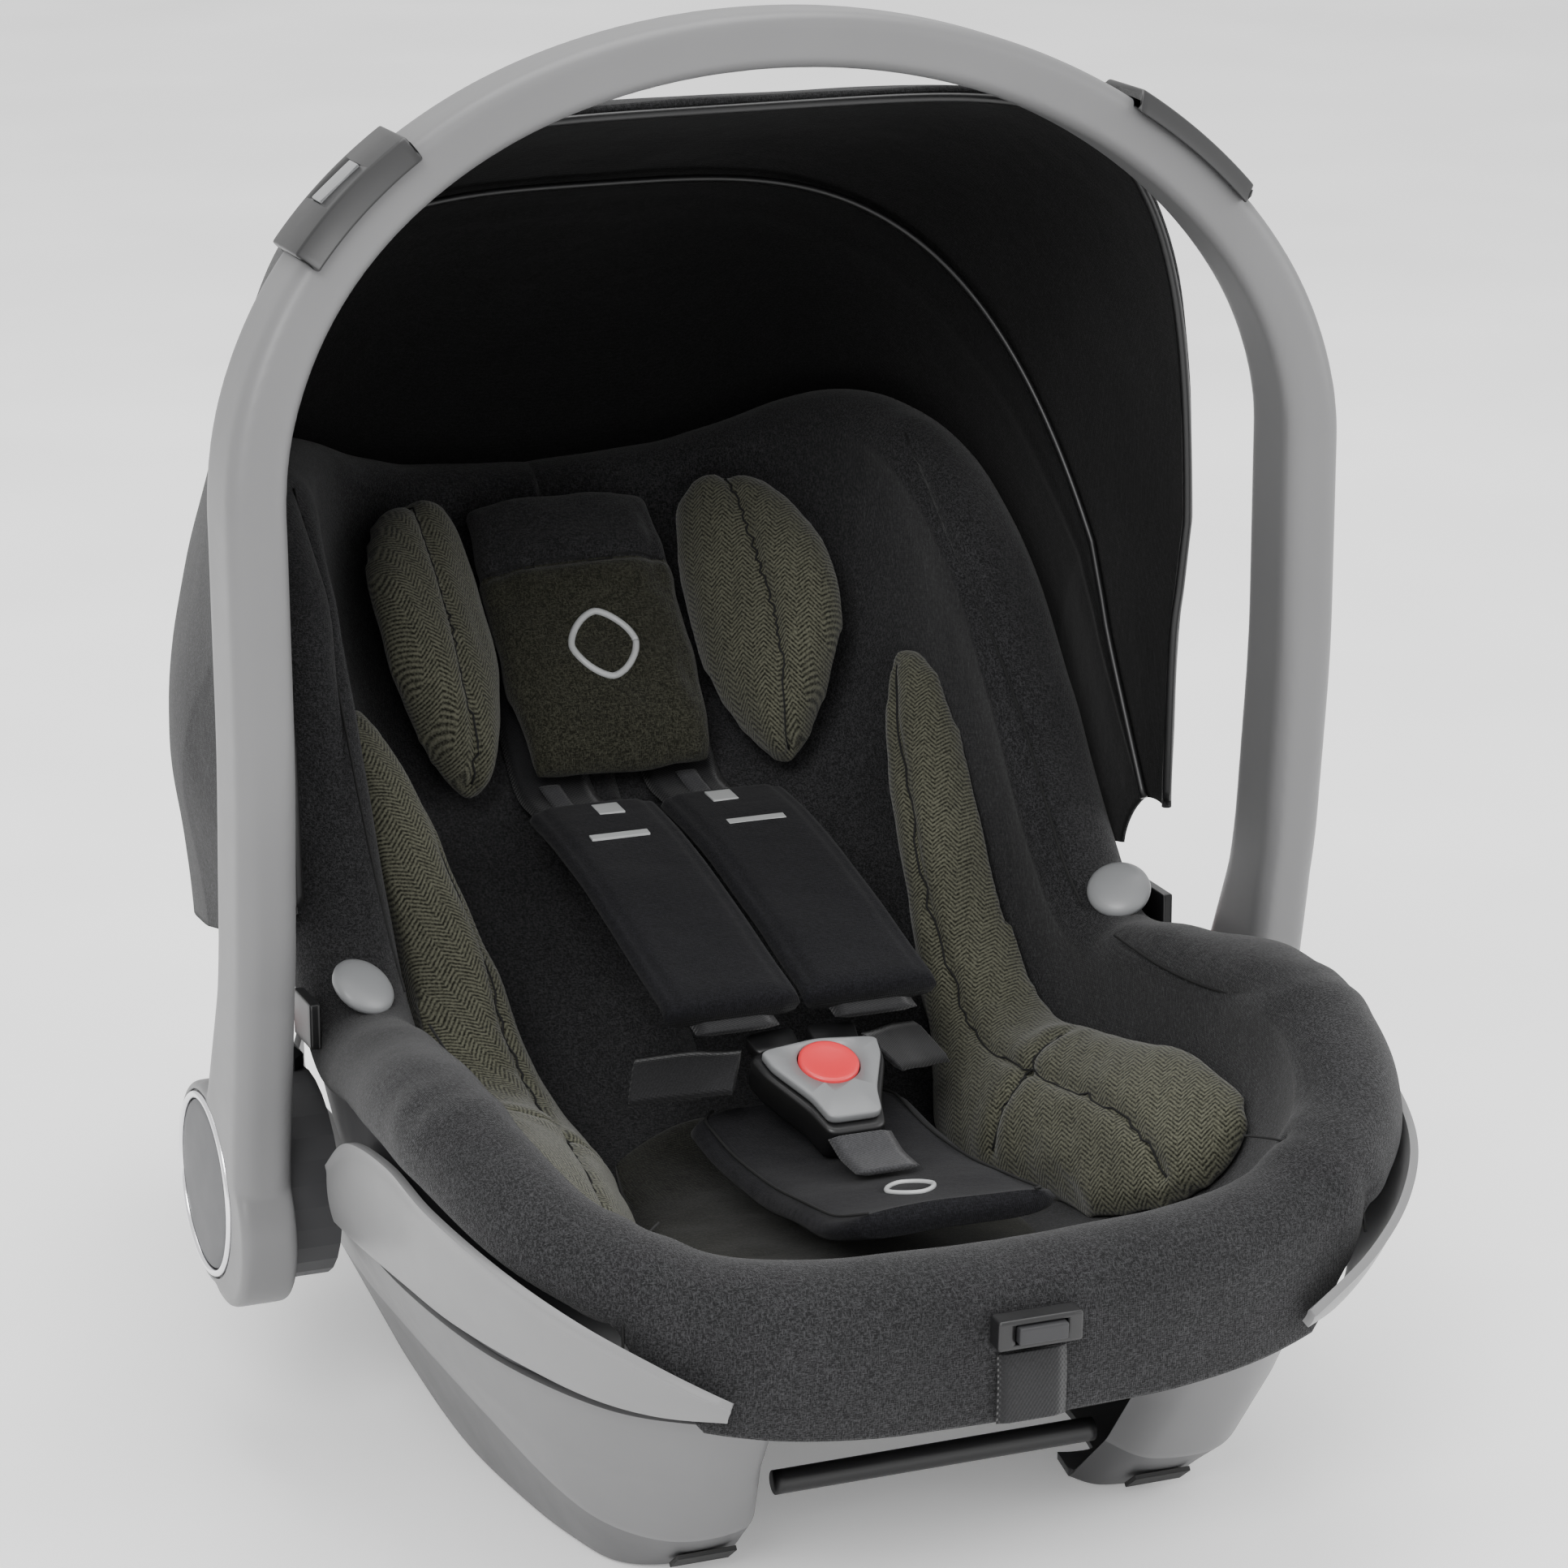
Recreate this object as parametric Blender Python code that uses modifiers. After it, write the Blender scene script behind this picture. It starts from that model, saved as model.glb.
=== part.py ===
"""Infant car seat (rear-facing infant carrier) as an assembly of separate pieces.

Units are metres and +Z is up. The baby's feet point to -Y and the head to +Y, +X is the left-hand
side seen from the seat, and X = 0 is the plane of symmetry. The origin is on the floor.
"""
import math

import bmesh
import bpy
from mathutils import Matrix, Vector

# ---------------------------------------------------------------- driving dimensions
GAP = 0.0005                      # clearance between touching pieces
HUB = Vector((0.0, 0.0, 0.107))   # handle pivot axis, along X
HUB_R = 0.042                     # radius of the handle's hub
LEG_X = 0.221                     # middle of a handle leg
LEG_HALF = 0.012                  # half the leg's thickness across the seat
LEG_DEPTH = 0.0195                # half the leg's depth along the seat
SHOULDER_Z, CROWN_Z = 0.393, 0.560   # where the arch starts, and its top centreline
ARCH_POWER = 2.02                  # squareness of the arch
HEAD_FOOT = Vector((0.0, 0.152, 0.2024))      # lower end of the headrest on the backrest's slope
HEAD_UP = Vector((0.0, 0.68, 0.7332))         # up the slope
HEAD_OUT = Vector((0.0, -0.7332, 0.68))       # off the slope
HEAD_FLAT, HEAD_HALF = 0.047, 0.109           # half widths of the headrest's panel and of the whole
HEAD_LONG, HEAD_RISE = 0.146, 0.045           # its length up the slope, and how far its wings curve forwards
COVER_JOIN = 0.5                  # where the cover's two lengths meet, along the seat
BOX_MIDDLE_Y = 0.007765           # middle of the seat's length before it is moved to the origin
CANOPY_AXIS = Vector((0.0, -0.004, 0.2))
CANOPY_HALF = 0.200               # half width of the canopy
CANOPY_R = 0.332                  # radius of the front canopy panel
CANOPY_POWER = 5.2                # squareness of the canopy's bow
SHELL_WALL = 0.004
RIM_ROLL = 0.030                  # width of the padded rim
COVER_T = 0.005
BUCKLE = Vector((0.0, -0.097, 0.155))
BUCKLE_TILT = math.radians(22)

# Half outline of the shell's rim from the foot end to the head end: x, y and the padded crest's z
RIM = [
    (0.000, -0.284, 0.140), (0.060, -0.283, 0.141), (0.105, -0.277, 0.146), (0.142, -0.264, 0.156),
    (0.173, -0.235, 0.171), (0.189, -0.188, 0.186), (0.191, -0.130, 0.189), (0.184, -0.070, 0.180),
    (0.178, -0.010, 0.172), (0.176, 0.030, 0.204), (0.174, 0.070, 0.262), (0.171, 0.110, 0.312),
    (0.165, 0.160, 0.344), (0.150, 0.210, 0.355), (0.120, 0.250, 0.347), (0.070, 0.274, 0.328),
    (0.000, 0.282, 0.320),
]
# Seat surface along the middle, at the same stations: y and z
SEAT_MID = [
    (-0.248, 0.136), (-0.235, 0.122), (-0.215, 0.110), (-0.190, 0.100), (-0.160, 0.092),
    (-0.130, 0.086), (-0.100, 0.081), (-0.065, 0.077), (-0.030, 0.076), (0.005, 0.082),
    (0.040, 0.100), (0.080, 0.134), (0.120, 0.172), (0.160, 0.210), (0.200, 0.247),
    (0.235, 0.285), (0.252, 0.315),
]
# Underside of the shell along the middle, at the same stations
HULL_MID = [
    (-0.262, 0.110), (-0.235, 0.092), (-0.205, 0.072), (-0.172, 0.054), (-0.145, 0.043),
    (-0.115, 0.036), (-0.080, 0.033), (-0.040, 0.032), (0.000, 0.032), (0.040, 0.034),
    (0.080, 0.040), (0.120, 0.052), (0.160, 0.072), (0.200, 0.104), (0.235, 0.147),
    (0.260, 0.205), (0.273, 0.262),
]

# ---------------------------------------------------------------- scene and materials
for old in list(bpy.data.objects):
    bpy.data.objects.remove(old, do_unlink=True)
SEAT = bpy.data.collections.new("infant_car_seat")
CUTTERS = bpy.data.collections.new("cutters")
for holder in (SEAT, CUTTERS):
    bpy.context.scene.collection.children.link(holder)


def material(name, colour, roughness, metallic=0.0):
    made = bpy.data.materials.new(name)
    made.use_nodes = True
    shader = made.node_tree.nodes["Principled BSDF"]
    shader.inputs["Base Color"].default_value = (*colour, 1)
    shader.inputs["Roughness"].default_value = roughness
    shader.inputs["Metallic"].default_value = metallic
    return made


GREY = material("grey_plastic", (0.22, 0.22, 0.23), 0.4)
DARK = material("dark_plastic", (0.03, 0.03, 0.033), 0.5)
BLACK = material("black_plastic", (0.012, 0.012, 0.013), 0.45)
LIGHT = material("light_plastic", (0.40, 0.41, 0.42), 0.4)
RED = material("red_plastic", (0.80, 0.06, 0.08), 0.35)
RUBBER = material("rubber", (0.02, 0.02, 0.02), 0.8)
STEEL = material("steel", (0.55, 0.56, 0.58), 0.3, 1.0)
CHROME = material("chrome", (0.8, 0.8, 0.82), 0.12, 1.0)
FOAM = material("foam", (0.75, 0.75, 0.76), 0.9)
CHARCOAL = material("charcoal_fabric", (0.045, 0.045, 0.048), 0.95)
OLIVE = material("olive_fabric", (0.09, 0.09, 0.075), 0.95)
PAD = material("pad_fabric", (0.018, 0.018, 0.021), 0.9)
WEBBING = material("webbing", (0.02, 0.02, 0.022), 0.8)
CANOPY = material("canopy_fabric", (0.03, 0.03, 0.032), 0.95)


# ---------------------------------------------------------------- shape helpers
def node(name, bm, mat, smooth=True):
    """A finished bmesh as a named object with its own material."""
    bmesh.ops.recalc_face_normals(bm, faces=bm.faces)
    mesh = bpy.data.meshes.new(name)
    bm.to_mesh(mesh)
    bm.free()
    obj = bpy.data.objects.new(name, mesh)
    SEAT.objects.link(obj)
    mesh.materials.append(mat)
    if smooth:
        mesh.shade_smooth()
        mesh.set_sharp_from_angle(angle=math.radians(40))
    return obj


def rounded(obj, width, segments=2):
    bevel = obj.modifiers.new("edges", "BEVEL")
    bevel.width = width
    bevel.segments = segments
    bevel.limit_method = "ANGLE"
    return obj


def box(name, centre, size, mat, turn=None, bevel=0.0, segments=2):
    """A box, turned about its centre by the matrix turn, with its edges rounded."""
    bm = bmesh.new()
    bmesh.ops.create_cube(bm, size=1, matrix=Matrix.Diagonal((*size, 1)))
    obj = node(name, bm, mat)
    obj.matrix_world = Matrix.Translation(centre) @ (turn or Matrix.Identity(4))
    return rounded(obj, bevel, segments) if bevel else obj


def disc(name, centre, radius, depth, mat, segments=32, bevel=0.0, turn=None):
    """A cylinder along X, or along the turned Z axis where turn is given."""
    bm = bmesh.new()
    bmesh.ops.create_cone(
        bm, cap_ends=True, segments=segments, radius1=radius, radius2=radius, depth=depth
    )
    obj = node(name, bm, mat)
    obj.matrix_world = Matrix.Translation(centre) @ (turn or Matrix.Rotation(math.pi / 2, 4, "Y"))
    return rounded(obj, bevel, 1) if bevel else obj


def lofted(rings, closed=True):
    """A bmesh skinned over rings of equally many points, with a cap on each end."""
    bm = bmesh.new()
    rows = [[bm.verts.new(p) for p in ring] for ring in rings]
    count = len(rows[0])
    for a, b in zip(rows, rows[1:]):
        for i in range(count if closed else count - 1):
            j = (i + 1) % count
            bm.faces.new((a[i], a[j], b[j], b[i]))
    if closed:
        bm.faces.new(rows[0][::-1])
        bm.faces.new(rows[-1])
    return bm


def smooth_list(points, t):
    """Catmull-Rom through a list of tuples, t running from 0 to 1."""
    last = len(points) - 1
    place = min(max(t, 0.0), 1.0) * last
    i = min(int(place), last - 1)
    u = place - i
    p0, p1, p2, p3 = (points[min(max(i + k, 0), last)] for k in (-1, 0, 1, 2))
    return tuple(
        0.5 * (2 * b + (c - a) * u + (2 * a - 5 * b + 4 * c - d) * u * u
               + (3 * b - a - 3 * c + d) * u ** 3)
        for a, b, c, d in zip(p0, p1, p2, p3)
    )


def along(points, count):
    return [Vector(smooth_list(points, i / (count - 1))) for i in range(count)]


def ribbon(name, points, width, thickness, mat, count=24, across=Vector((1, 0, 0))):
    """Flat webbing through the points, its width along across."""
    path = along(points, count)
    rings = []
    for i, here in enumerate(path):
        ahead = path[min(i + 1, count - 1)] - path[max(i - 1, 0)]
        side = (across - across.project(ahead)).normalized() * width / 2
        lift = side.cross(ahead).normalized() * thickness / 2
        rings.append([here - side - lift, here + side - lift, here + side + lift, here - side + lift])
    return node(name, lofted(rings), mat)


def tube(name, points, radius, mat, resolution=2):
    curve = bpy.data.curves.new(name, "CURVE")
    curve.dimensions = "3D"
    curve.bevel_depth = radius
    curve.bevel_resolution = resolution
    curve.use_fill_caps = True
    spline = curve.splines.new("POLY")
    spline.points.add(len(points) - 1)
    for point, place in zip(spline.points, points):
        point.co = (*place, 1)
    curve.materials.append(mat)
    obj = bpy.data.objects.new(name, curve)
    SEAT.objects.link(obj)
    return obj


def combine(obj, operation, other):
    """A Boolean of obj with a helper, which goes to the cutters."""
    step = obj.modifiers.new(operation.lower(), "BOOLEAN")
    step.operation = operation
    step.object = other
    SEAT.objects.unlink(other)
    CUTTERS.objects.link(other)
    other.hide_render = True
    other.display_type = "WIRE"
    return obj


def mirrored_pair(build):
    """Calls build(side, letter) for the +X and the -X side."""
    for side, letter in ((1, "L"), (-1, "R")):
        build(side, letter)


# ---------------------------------------------------------------- the bucket's surfaces
def rim_at(s):
    return Vector(smooth_list(RIM, s))


def inward(s):
    """The level direction from the rim at s towards the inside of the seat."""
    step = rim_at(min(s + 0.01, 1)) - rim_at(max(s - 0.01, 0))
    level = Vector((-step.y, step.x, 0))
    return level.normalized() if 0 < s < 1 else Vector((0, 1 if s == 0 else -1, 0))


def on_plane(s, p):
    """Points at both ends of the half outline lie on the plane of symmetry."""
    return Vector((0.0 if s in (0, 1) else max(p.x, 0.0), p.y, p.z))


def rim_point(s, inset, drop):
    p = rim_at(s) + inward(s) * inset
    return on_plane(s, Vector((p.x, p.y, rim_at(s).z - drop)))


def bowl(s, q, middle, inset, drop, power, fullness):
    """The bowl from the middle line (q = 0) to the rim (q = 1)."""
    y, z = smooth_list(middle, s)
    edge = rim_point(s, inset, drop)
    return Vector((
        edge.x * math.sin(q * math.pi / 2) ** fullness,
        y + (edge.y - y) * q * q,
        z + (edge.z - z) * q ** power,
    ))


def seat_point(s, q, lift=0.0):
    """A point on the seat's surface, or lift above it along its normal."""
    def at(a, b):
        return bowl(a, b, SEAT_MID, RIM_ROLL, 0.008, 3.0, 0.9)
    here = at(s, q)
    if not lift:
        return here
    e = 0.004
    ds = at(min(s + e, 1), q) - at(max(s - e, 0), q)
    dq = at(s, min(q + e, 1)) - at(s, max(q - e, 0.0))
    normal = dq.cross(ds)
    if q < 0.01 or normal.length < 1e-9:
        normal = Vector((0, -ds.z, ds.y))
    normal.normalize()
    moved = here + normal * lift
    return Vector((0.0 if q == 0 or s in (0, 1) else max(moved.x, 0.0), moved.y, moved.z))


def hull_point(s, q, lift=0.0):
    def at(a, b):
        return bowl(a, b, HULL_MID, 0.0, 0.016, 3.0, 1.5)
    here = at(s, q)
    inner = bowl(s, q, [(y * 0.985, z) for y, z in HULL_MID], lift, 0.016, 3.0, 1.5)
    return Vector((inner.x, inner.y, here.z + lift * (1 - q ** 3))) if lift else here


def half_shell(name, outer, inner, mat, s_count=21, start=0.0, stop=1.0):
    """The +X half between two section functions of s, mirrored into the whole piece."""
    bm = bmesh.new()
    stations = [start + (stop - start) * i / (s_count - 1) for i in range(s_count)]
    out_rows = [[bm.verts.new(p) for p in outer(s)] for s in stations]
    in_rows = [[bm.verts.new(p) for p in inner(s)] for s in stations]
    for rows in (out_rows, in_rows):
        for a, b in zip(rows, rows[1:]):
            for i in range(len(a) - 1):
                bm.faces.new((a[i], a[i + 1], b[i + 1], b[i]))
    for i in range(s_count - 1):
        bm.faces.new((out_rows[i][-1], in_rows[i][-1], in_rows[i + 1][-1], out_rows[i + 1][-1]))
    for end, cut in ((0, start > 0), (-1, stop < 1)):
        for i in range(len(out_rows[end]) - 1 if cut else 0):
            bm.faces.new((out_rows[end][i], in_rows[end][i], in_rows[end][i + 1], out_rows[end][i + 1]))
    obj = node(name, bm, mat)
    mirror = obj.modifiers.new("mirror", "MIRROR")
    mirror.use_clip = True
    mirror.merge_threshold = 0.0001
    return obj


LEVELS = [0.0, 0.2, 0.4, 0.58, 0.72, 0.84, 0.93, 1.0]
HULL_LEVELS = [0.0, 0.3, 0.55, 0.75, 0.9, 1.0]


def seat_shell():
    half_shell(
        "seat_shell",
        lambda s: [hull_point(s, q) for q in HULL_LEVELS],
        lambda s: [hull_point(s, q, SHELL_WALL) for q in HULL_LEVELS],
        GREY,
    )


def foam_liner():
    half_shell(
        "foam_liner",
        lambda s: [hull_point(s, q, SHELL_WALL + 0.002) for q in HULL_LEVELS],
        lambda s: [seat_point(s, q, -COVER_T - 0.0035) for q in LEVELS],
        FOAM,
    )


def hem_drop(s):
    """How far the cover hangs down outside: long at the foot end, short behind the trims."""
    apron = min(1.0, max(0.0, (0.20 - s) / 0.05))
    return 0.020 + 0.034 * apron + 0.02 * max(0.0, (s - 0.6) / 0.4)


def seat_cover():
    def top(s):
        roll = [(0.026, 0.0015), (0.015, -0.003), (0.004, -0.001), (-0.005, 0.008)]
        rows = [seat_point(s, q) for q in LEVELS] + [rim_point(s, i, d) for i, d in roll]
        return rows + [rim_point(s, -0.006, hem_drop(s))]

    def under(s):
        roll = [(0.024, 0.0065), (0.015, 0.004), (0.006, 0.005), (-0.0016, 0.010)]
        rows = [seat_point(s, q, -COVER_T) for q in LEVELS] + [rim_point(s, i, d) for i, d in roll]
        return rows + [rim_point(s, -0.0022, hem_drop(s))]

    # two lengths, which meet at the hips
    half_shell("seat_cover", top, under, CHARCOAL, 13, 0.0, COVER_JOIN - 0.0006)
    half_shell("seat_cover_back", top, under, CHARCOAL, 13, COVER_JOIN + 0.0006, 1.0)


def pad_body(name, place, mat, nu, nv):
    """A closed body between the upper and lower surfaces that place(u, v, high) gives, u and v from -1 to 1."""
    bm = bmesh.new()
    us = [math.sin((-1 + 2 * i / nu) * math.pi / 2) for i in range(nu + 1)]
    vs = [math.sin((-1 + 2 * i / nv) * math.pi / 2) for i in range(nv + 1)]
    layers = [[[bm.verts.new(place(u, v, high)) for v in vs] for u in us] for high in (True, False)]
    for grid in layers:
        for a, b in zip(grid, grid[1:]):
            for i in range(nv):
                bm.faces.new((a[i], a[i + 1], b[i + 1], b[i]))
    top, low = layers
    edge = [(i, 0) for i in range(nu)] + [(nu, j) for j in range(nv)]
    edge += [(i, nv) for i in range(nu, 0, -1)] + [(0, j) for j in range(nv, 0, -1)]
    for (i, j), (k, m) in zip(edge, edge[1:] + edge[:1]):
        bm.faces.new((top[i][j], top[k][m], low[k][m], low[i][j]))
    return node(name, bm, mat)


def swell(u, v, power=2.6):
    """Share of a pad's full thickness at a place on it: a quarter at its edge, all of it in the middle."""
    return 0.25 + 0.75 * max((1 - abs(u) ** power) * (1 - abs(v) ** power), 0) ** 0.5


def seat_pad(name, s_range, q_range, thickness, lift, mat, side=0, nu=9, nv=6, taper=0.0):
    """A domed pad lying on the seat's surface, on one side or across the middle; taper narrows its head end."""
    def place(u, v, high):
        t = 0.5 + u / 2
        s = s_range[0] + (s_range[1] - s_range[0]) * t
        near = q_range[0] + taper * max(0.0, (t - 0.45) / 0.55) ** 1.5
        q = near + (q_range[1] - near) * (0.5 + v / 2) if side else abs(v) * q_range[1]
        p = seat_point(s, q, lift + (thickness * swell(u, v) if high else 0))
        return Vector((p.x * (side or (1 if v >= 0 else -1)), p.y, p.z))
    return pad_body(name, place, mat, nu, nv)


# ---------------------------------------------------------------- soft inserts and headrest
def inserts():
    seat_pad("insert_seat_pad", (0.13, 0.60), (0, 0.27), 0.010, 0.003, OLIVE, nu=9, nv=4)

    def bolster(side, letter):
        seat_pad("body_bolster_" + letter, (0.25, 0.745), (0.31, 0.90), 0.036, 0.003, OLIVE, side,
                 taper=0.40)
    mirrored_pair(bolster)


def head_point(x, along_back, lift, high):
    """A point of the headrest: flat in the middle, its wings curving forwards off the backrest's slope."""
    k = min(max((abs(x) - HEAD_FLAT) / (HEAD_HALF - HEAD_FLAT), 0.0), 1.0)
    lean = math.radians(48) * k
    rise = lift + HEAD_RISE * k ** 3
    p = HEAD_FOOT + HEAD_UP * along_back + HEAD_OUT * (rise + high * math.cos(lean))
    return Vector((x - math.copysign(high * math.sin(lean), x), p.y, p.z))


def headrest():
    lift = 0.0115
    pad_body("headrest_pad", lambda u, v, high: head_point(
        v * (HEAD_FLAT - 0.001), HEAD_LONG * (0.5 + u / 2), lift, 0.020 * swell(u, v, 5.0) if high else 0.0),
        OLIVE, 6, 4)

    def wing(side, letter):
        def place(u, v, high):
            foot, crown = max(-u, 0.0) ** 2, max(u, 0.0) ** 3
            near = HEAD_FLAT + 0.001 + 0.020 * foot + 0.004 * crown
            far = HEAD_HALF - 0.026 * foot - 0.020 * crown
            x = near + (far - near) * (0.5 + v / 2)
            return head_point(x * side, (HEAD_LONG - 0.006) * (0.5 + u / 2) - 0.004, lift + 0.014 * crown,
                              0.036 * swell(u, v) if high else 0.0)
        pad_body("headrest_bolster_" + letter, place, OLIVE, 8, 6)
    mirrored_pair(wing)


# ---------------------------------------------------------------- outer trims and base
TRIM_TOP = [
    (0.200, -0.066, 0.134), (0.2010, -0.100, 0.155), (0.2005, -0.150, 0.163), (0.1985, -0.195, 0.160),
    (0.1865, -0.240, 0.151), (0.168, -0.269, 0.139), (0.144, -0.287, 0.125), (0.117, -0.293, 0.108),
]
TRIM_LOW = [
    (0.197, -0.062, 0.108), (0.196, -0.092, 0.109), (0.192, -0.140, 0.110), (0.186, -0.180, 0.109),
    (0.173, -0.218, 0.106), (0.156, -0.250, 0.102), (0.138, -0.272, 0.1005), (0.117, -0.288, 0.101),
]
BASE_RAILS = [   # top edge, crease, bottom edge and inner edge, from the rear round to the front
    [(0.140, 0.190, 0.098), (0.136, 0.190, 0.066), (0.110, 0.180, 0.034), (0.085, 0.175, 0.030)],
    [(0.158, 0.140, 0.096), (0.152, 0.140, 0.060), (0.122, 0.140, 0.008), (0.092, 0.140, 0.004)],
    [(0.168, 0.080, 0.096), (0.162, 0.080, 0.058), (0.134, 0.080, 0.000), (0.096, 0.080, 0.000)],
    [(0.176, 0.010, 0.096), (0.169, 0.010, 0.060), (0.140, 0.010, 0.000), (0.098, 0.010, 0.000)],
    [(0.182, -0.060, 0.092), (0.166, -0.060, 0.056), (0.142, -0.060, 0.000), (0.098, -0.060, 0.000)],
    [(0.177, -0.130, 0.0905), (0.158, -0.130, 0.048), (0.137, -0.120, 0.000), (0.096, -0.120, 0.000)],
    [(0.1645, -0.185, 0.089), (0.146, -0.182, 0.036), (0.131, -0.155, 0.000), (0.092, -0.145, 0.000)],
    [(0.1435, -0.235, 0.089), (0.132, -0.205, 0.028), (0.123, -0.180, 0.000), (0.090, -0.155, 0.000)],
    [(0.118, -0.262, 0.090), (0.112, -0.224, 0.026), (0.106, -0.190, 0.000), (0.088, -0.160, 0.000)],
    [(0.090, -0.258, 0.084), (0.085, -0.222, 0.026), (0.080, -0.188, 0.000), (0.080, -0.160, 0.000)],
    [(0.077, -0.236, 0.078), (0.074, -0.204, 0.028), (0.071, -0.176, 0.000), (0.074, -0.158, 0.000)],
]


def thickened(obj, thickness, offset):
    solid = obj.modifiers.new("wall", "SOLIDIFY")
    solid.thickness = thickness
    solid.offset = offset
    solid.use_even_offset = True
    return obj


def open_sheet(name, rows, mat, flip):
    bm = lofted(rows, closed=False)
    bmesh.ops.recalc_face_normals(bm, faces=bm.faces)
    if flip(bm):
        bmesh.ops.reverse_faces(bm, faces=bm.faces)
    mesh = bpy.data.meshes.new(name)
    bm.to_mesh(mesh)
    bm.free()
    mesh.materials.append(mat)
    mesh.shade_smooth()
    obj = bpy.data.objects.new(name, mesh)
    SEAT.objects.link(obj)
    return obj


def faces_inwards(bm):
    """True where a side panel's normals point to the middle of the seat."""
    bm.normal_update()
    total = sum((f.normal.x * f.calc_center_median().x * f.calc_area() for f in bm.faces), 0.0)
    return total < 0


def rim_trim(side, letter):
    tops, lows = along(TRIM_TOP, 15), along(TRIM_LOW, 15)
    rows = []
    for high, low in zip(tops, lows):
        bulge = (high - low).length * 0.06
        row = []
        for k in range(5):
            t = k / 4
            p = high.lerp(low, t)
            out = Vector((0.9, -0.4, 0)) * bulge * 4 * t * (1 - t)
            row.append(Vector(((p.x + out.x) * side, p.y + out.y, p.z)))
        rows.append(row)
    thickened(open_sheet("rim_trim_" + letter, rows, GREY, faces_inwards), 0.0035, -1)


def base_side(side, letter):
    rails = [along([row[k] for row in BASE_RAILS], 21) for k in range(4)]
    rows = []
    for a, b, c, d in zip(*rails):
        row = [a, a.lerp(b, 0.5) + Vector((0.002, 0, 0)), b, b.lerp(c, 0.5), c, c.lerp(d, 0.5), d]
        rows.append([Vector((p.x * side, p.y, max(p.z, 0.0))) for p in row])
    thickened(open_sheet("base_side_" + letter, rows, GREY, faces_inwards), 0.0032, -1)


def foot_pad(side, letter):
    """Rubber pad on the slope under the front of the foot."""
    slope = Matrix.Rotation(math.atan2(-0.026, 0.034), 4, "X")
    box("foot_pad_" + letter, (0.096 * side, -0.2048, 0.0083), (0.024, 0.012, 0.0020), RUBBER, slope)


def latch_bars():
    """Steel bars that the car's base grips, across the underside."""
    tube("front_bar", [(x * 0.067, -0.205, 0.034) for x in (-1, -0.5, 0, 0.5, 1)], 0.0048, BLACK, 3)
    tube("rear_bar", [(x * 0.098, 0.150, 0.024) for x in (-1, -0.5, 0, 0.5, 1)], 0.0045, BLACK, 3)


# ---------------------------------------------------------------- handle and its hubs
def handle_path(turns=13):
    """Centreline from the -X hub over the crown to the +X hub."""
    lean = [(0.107, -0.016), (0.16, -0.034), (0.21, -0.050), (0.30, -0.060), (0.40, -0.060),
            (0.45, -0.053), (0.50, -0.042), (0.54, -0.034), (0.60, -0.028)]

    def y_at(z):
        for (z0, y0), (z1, y1) in zip(lean, lean[1:]):
            if z <= z1:
                t = (z - z0) / (z1 - z0)
                return y0 + (y1 - y0) * t
        return lean[-1][1]

    half = []
    for i in range(6):
        z = 0.118 + (SHOULDER_Z - 0.118) * i / 6
        half.append((LEG_X, z))
    for i in range(turns + 1):
        angle = math.pi / 2 * i / turns
        x = LEG_X * max(math.cos(angle), 0) ** (2 / ARCH_POWER)
        half.append((x, SHOULDER_Z + (CROWN_Z - SHOULDER_Z) * math.sin(angle) ** (2 / ARCH_POWER)))
    half[-1] = (0.0, CROWN_Z)
    whole = [(-x, z) for x, z in half] + [(x, z) for x, z in half[-2::-1]]
    return [Vector((x, y_at(z), z)) for x, z in whole]


def rounded_section(half_a, half_b, corner, steps=2):
    """A rounded rectangle's points as (a, b) pairs."""
    points = []
    for qa, qb, start in ((1, 1, 0), (-1, 1, 90), (-1, -1, 180), (1, -1, 270)):
        for k in range(steps + 1):
            angle = math.radians(start + 90 * k / steps)
            a = qa * (half_a - corner) + corner * math.cos(angle)
            points.append((a, qb * (half_b - corner) + corner * math.sin(angle)))
    return points


def sweep_rings(path, section_at):
    rings = []
    last = len(path) - 1
    for i, here in enumerate(path):
        ahead = (path[min(i + 1, last)] - path[max(i - 1, 0)])
        ahead.y = 0
        out = Vector((-ahead.z, 0, ahead.x)).normalized()
        rings.append([here + out * a + Vector((0, b, 0)) for a, b in section_at(here)])
    return rings


def carry_handle():
    def section(here):
        spread = max(0.0, (0.20 - here.z) / 0.08)
        rise = max(0.0, (here.z - SHOULDER_Z) / (CROWN_Z - SHOULDER_Z))
        return rounded_section(LEG_HALF - 0.001 * rise, LEG_DEPTH + 0.010 * spread - 0.002 * rise, 0.0075)

    handle = node("carry_handle", lofted(sweep_rings(handle_path(), section)), GREY)
    for side in (1, -1):
        hub = disc("hub_blank", (LEG_X * side, HUB.y, HUB.z), HUB_R, 0.0232, GREY, 32, 0.002)
        combine(handle, "UNION", hub)
        lobe = disc("hub_lobe", (LEG_X * side, HUB.y - 0.020, HUB.z - 0.008), 0.036, 0.0236, GREY, 28)
        combine(handle, "UNION", lobe)
    for side in (1, -1):
        recess = disc("hub_recess", (0.2365 * side, HUB.y, HUB.z), 0.0388, 0.012, GREY, 32)
        combine(handle, "DIFFERENCE", recess)
        bore = disc("hub_bore", (0.212 * side, HUB.y, HUB.z), 0.0063, 0.026, GREY, 16)
        combine(handle, "DIFFERENCE", bore)
    return handle


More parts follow.
